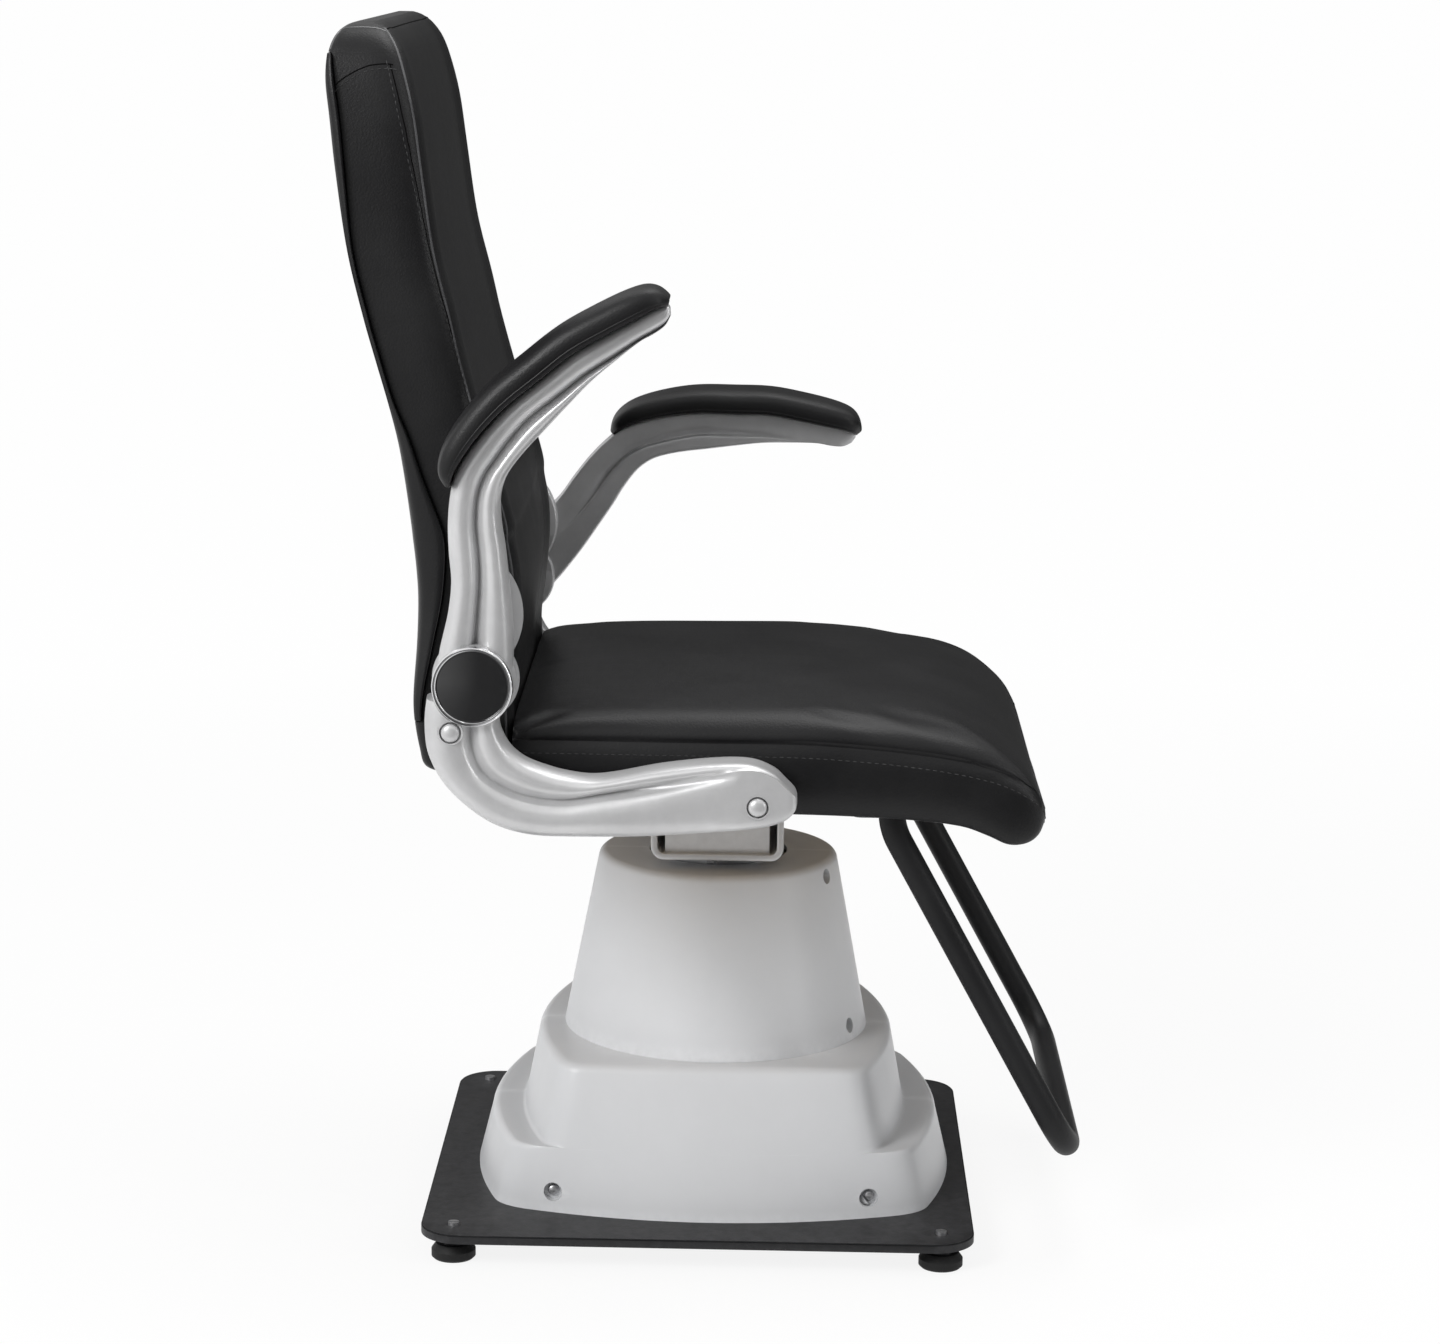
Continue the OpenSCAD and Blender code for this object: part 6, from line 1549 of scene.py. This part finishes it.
class CHAIR_OT_metalwork(bpy.types.Operator):
    """Makes the footrest and the seat's bracket tube"""
    bl_idname = "chair.metalwork"
    bl_label = "Footrest and seat bracket"

    def execute(self, context):
        metal, looks = settings("metalwork"), finishes()
        left = footrest_path(metal, 1)
        path = np.concatenate([left, (left * [1, -1, 1])[-2::-1]])
        shape = Surface().tube(path, metal.tube_d / 2, 32)
        d, z1 = metal.tube_d, SEAT_UNDER - CLEAR
        for side in SIDES.values():
            y = side * metal.tube_span / 2
            outline = rounded_outline(metal.tube_top - 1.5 * d, metal.tube_top + 1.5 * d,
                                      y - d, y + d, d / 3)
            shape.slab(outline, z1 - FOOT_PLATE_T, z1, PLATE_EDGE)
        place("footrest_tube", shape, looks["plate_paint"], "seat",
              ["footrest"], 50.0)
        self.bracket(metal, looks["silver_paint"])
        return {"FINISHED"}

    def bracket(self, metal, paint):
        """The bracket's tube: a rounded rectangle carried along Y, outside and
        back inside, with a rounded rim at both ends."""
        (x0, y0, z0), (x1, y1, z1) = BRACKET_LOW, BRACKET_HIGH
        r, w, e = BOX_CORNER, metal.wall, BOX_RIM
        levels = [(y0 + e, 0.0), (y1 - e, 0.0), (y1 - 0.3 * e, 0.3 * e), (y1, e),
                  (y1, w - e), (y1 - 0.3 * e, w - 0.3 * e), (y1 - e, w), (y0 + e, w),
                  (y0 + 0.3 * e, w - 0.3 * e), (y0, w - e), (y0, e),
                  (y0 + 0.3 * e, 0.3 * e)]
        rings = []
        for y, d in levels:
            plan = rounded_outline(x0 + d, x1 - d, z0 + d, z1 - d, r - d * 0.9)
            rings.append(np.column_stack([plan[:, 0], np.full(len(plan), y), plan[:, 1]]))
        place("bracket_tube", Surface().loft(np.stack(rings), wrap=True), paint,
              "seat", ["swivel_bracket"], 40.0)


class CHAIR_OT_stage(bpy.types.Operator):
    """Sets up the camera, the lights, the world and the floor"""
    bl_idname = "chair.stage"
    bl_label = "Studio"

    def execute(self, context):
        studio, scene = settings("studio"), context.scene
        scene.view_settings.view_transform = "Standard"
        az, el, roll = studio.azimuth, studio.tilt, studio.roll
        back = Vector((math.sin(az) * math.cos(el), -math.cos(az) * math.cos(el),
                       math.sin(el)))
        right = Vector((0, 0, 1)).cross(back).normalized()
        up = back.cross(right)
        x = right * math.cos(roll) + up * math.sin(roll)
        y = up * math.cos(roll) - right * math.sin(roll)
        lens = bpy.data.cameras.new("camera")
        lens.lens, lens.sensor_width, lens.clip_end = studio.lens, 36.0, 400.0
        camera = bpy.data.objects.new("camera", lens)
        camera.matrix_world = Matrix.Translation(studio.eye) @ Matrix(
            (x, y, back)).transposed().to_4x4()
        scene.collection.objects.link(camera)
        scene.camera = camera
        middle = Vector((0, 0, 0.6))
        for name, watts, spot, size in (
                ("key", studio.key, (-2.1, -2.4, 2.3), (1.2, 1.6)),
                ("rim", studio.rim, (2.6, -1.1, 1.3), (0.35, 2.0)),
                ("top", studio.top, (0.4, 0.4, 3.2), (1.8, 1.8))):
            lamp = bpy.data.lights.new(name, "AREA")
            lamp.shape, lamp.size, lamp.size_y, lamp.energy = "RECTANGLE", *size, watts
            holder = bpy.data.objects.new(name, lamp)
            spot = Vector(spot)
            holder.matrix_world = Matrix.Translation(spot) @ (
                spot - middle).to_track_quat("Z", "Y").to_matrix().to_4x4()
            scene.collection.objects.link(holder)
        self.surroundings(scene, studio)
        return {"FINISHED"}

    def seen(self, tree):
        """1 for camera, glossy and transmission rays, else 0."""
        path = node(tree, "LightPath").outputs
        rays = total(tree, total(tree, path["Is Camera Ray"], path["Is Glossy Ray"]),
                     path["Is Transmission Ray"])
        return node(tree, "Math", {0: rays, 1: 1.0}, operation="MINIMUM").outputs[0]

    def sheet(self, scene, name, corners, paint):
        """A flat sheet of the studio."""
        data = bpy.data.meshes.new(name)
        data.from_pydata(corners, [], [(0, 1, 2, 3)])
        data.materials.append(paint)
        made = bpy.data.objects.new(name, data)
        scene.collection.objects.link(made)
        return made

    def surroundings(self, scene, studio):
        """A white world, dimmer for the light it throws, and a wide pale floor
        that is nearly white to the eye, and white far from the chair, and keeps
        the chair's shadow."""
        scene.world = bpy.data.worlds.new("studio")
        tree = clean_tree(scene.world)
        sky = node(tree, "Background", {
            "Color": (1, 1, 1, 1),
            "Strength": ramp(tree, self.seen(tree), 0.0, 1.0, studio.sky, 1.0)})
        node(tree, "OutputWorld", {"Surface": sky.outputs[0]})
        paint = bpy.data.materials.new("floor paint")
        tree = clean_tree(paint)
        matt = node(tree, "BsdfDiffuse", {"Color": (*studio.floor, 1)})
        light = node(tree, "Emission")
        away = node(tree, "VectorMath", {0: own_place(tree)}, operation="LENGTH")
        share = product(tree, self.seen(tree), ramp(
            tree, away.outputs["Value"], studio.near_floor, studio.far_floor,
            studio.near_glow, studio.far_glow))
        blend = node(tree, "MixShader", {"Fac": share, 1: matt.outputs[0],
                                         2: light.outputs[0]})
        node(tree, "OutputMaterial", {"Surface": blend.outputs[0]})
        wide = studio.floor_reach
        self.sheet(scene, "floor", [(-wide, -wide, 0), (wide, -wide, 0),
                                             (wide, wide, 0), (-wide, wide, 0)], paint)
        self.cards(scene, studio)

    def cards(self, scene, studio):
        """Grey cards in front of the chair, on the floor, to the right and
        behind. Only gloss shows them, so they shape highlights and throw no
        shadow. Their tone fades to white over 0.8 m at the left."""
        left, right, near, far, low, behind = -1.15, 3.0, -3.3, -0.9, 0.002, 2.2
        high, side_high, fade = 2.3, 2.0, 0.8
        grey = bpy.data.materials.new("card")
        tree = clean_tree(grey)
        spot = node(tree, "SeparateXYZ", {"Vector": own_place(tree)})
        tone = ramp(tree, spot.outputs["X"], left, left + fade, 1.0, studio.card)
        glow = node(tree, "Emission", {"Strength": tone})
        node(tree, "OutputMaterial", {"Surface": glow.outputs[0]})
        for name, corners in (
                ("card_front", [(left, near, low), (right, near, low), (right, near, high),
                                (left, near, high)]),
                ("card_floor", [(left, near, low), (right, near, low), (right, far, low),
                                (left, far, low)]),
                ("card_right", [(right, near, low), (right, behind, low),
                                (right, behind, side_high), (right, near, side_high)]),
                ("card_behind", [(left, behind, low), (right, behind, low),
                                 (right, behind, high), (left, behind, high)])):
            card = self.sheet(scene, name, corners, grey)
            card.visible_camera = card.visible_diffuse = card.visible_shadow = False
            card.visible_transmission = False


OPERATORS = (CHAIR_OT_stage, CHAIR_OT_seat, CHAIR_OT_back, CHAIR_OT_pads,
             CHAIR_OT_armrests, CHAIR_OT_brackets, CHAIR_OT_covers, CHAIR_OT_metalwork)


class CHAIR_PT_sidebar(bpy.types.Panel):
    """Lists the chair's pieces and their sizes"""
    bl_idname = "CHAIR_PT_sidebar"
    bl_label = "Examination chair"
    bl_space_type = "VIEW_3D"
    bl_region_type = "UI"
    bl_category = "Chair"

    def draw(self, context):
        for operator in OPERATORS:
            self.layout.operator(operator.bl_idname, text=operator.bl_label)
        for part, group in GROUPS.items():
            box = self.layout.box()
            for name in group.__annotations__:
                box.prop(getattr(context.scene, "chair_" + part), name)


def register():
    """Registers the property groups, the operators and the panel."""
    for part, group in GROUPS.items():
        bpy.utils.register_class(group)
        setattr(bpy.types.Scene, "chair_" + part, PointerProperty(type=group))
    for kind in (*OPERATORS, CHAIR_PT_sidebar):
        bpy.utils.register_class(kind)


def unregister():
    """Takes them away again."""
    for kind in (CHAIR_PT_sidebar, *reversed(OPERATORS)):
        bpy.utils.unregister_class(kind)
    for part, group in GROUPS.items():
        delattr(bpy.types.Scene, "chair_" + part)
        bpy.utils.unregister_class(group)


def main():
    """Builds the whole dressed chair."""
    register()
    dress_frame()
    bpy.ops.chair.stage()
    bpy.ops.chair.seat()
    bpy.ops.chair.back()
    bpy.ops.chair.pads()
    bpy.ops.chair.armrests()
    bpy.ops.chair.brackets()
    bpy.ops.chair.covers()
    bpy.ops.chair.metalwork()
    bpy.context.view_layer.update()


if __name__ == "__main__":
    main()
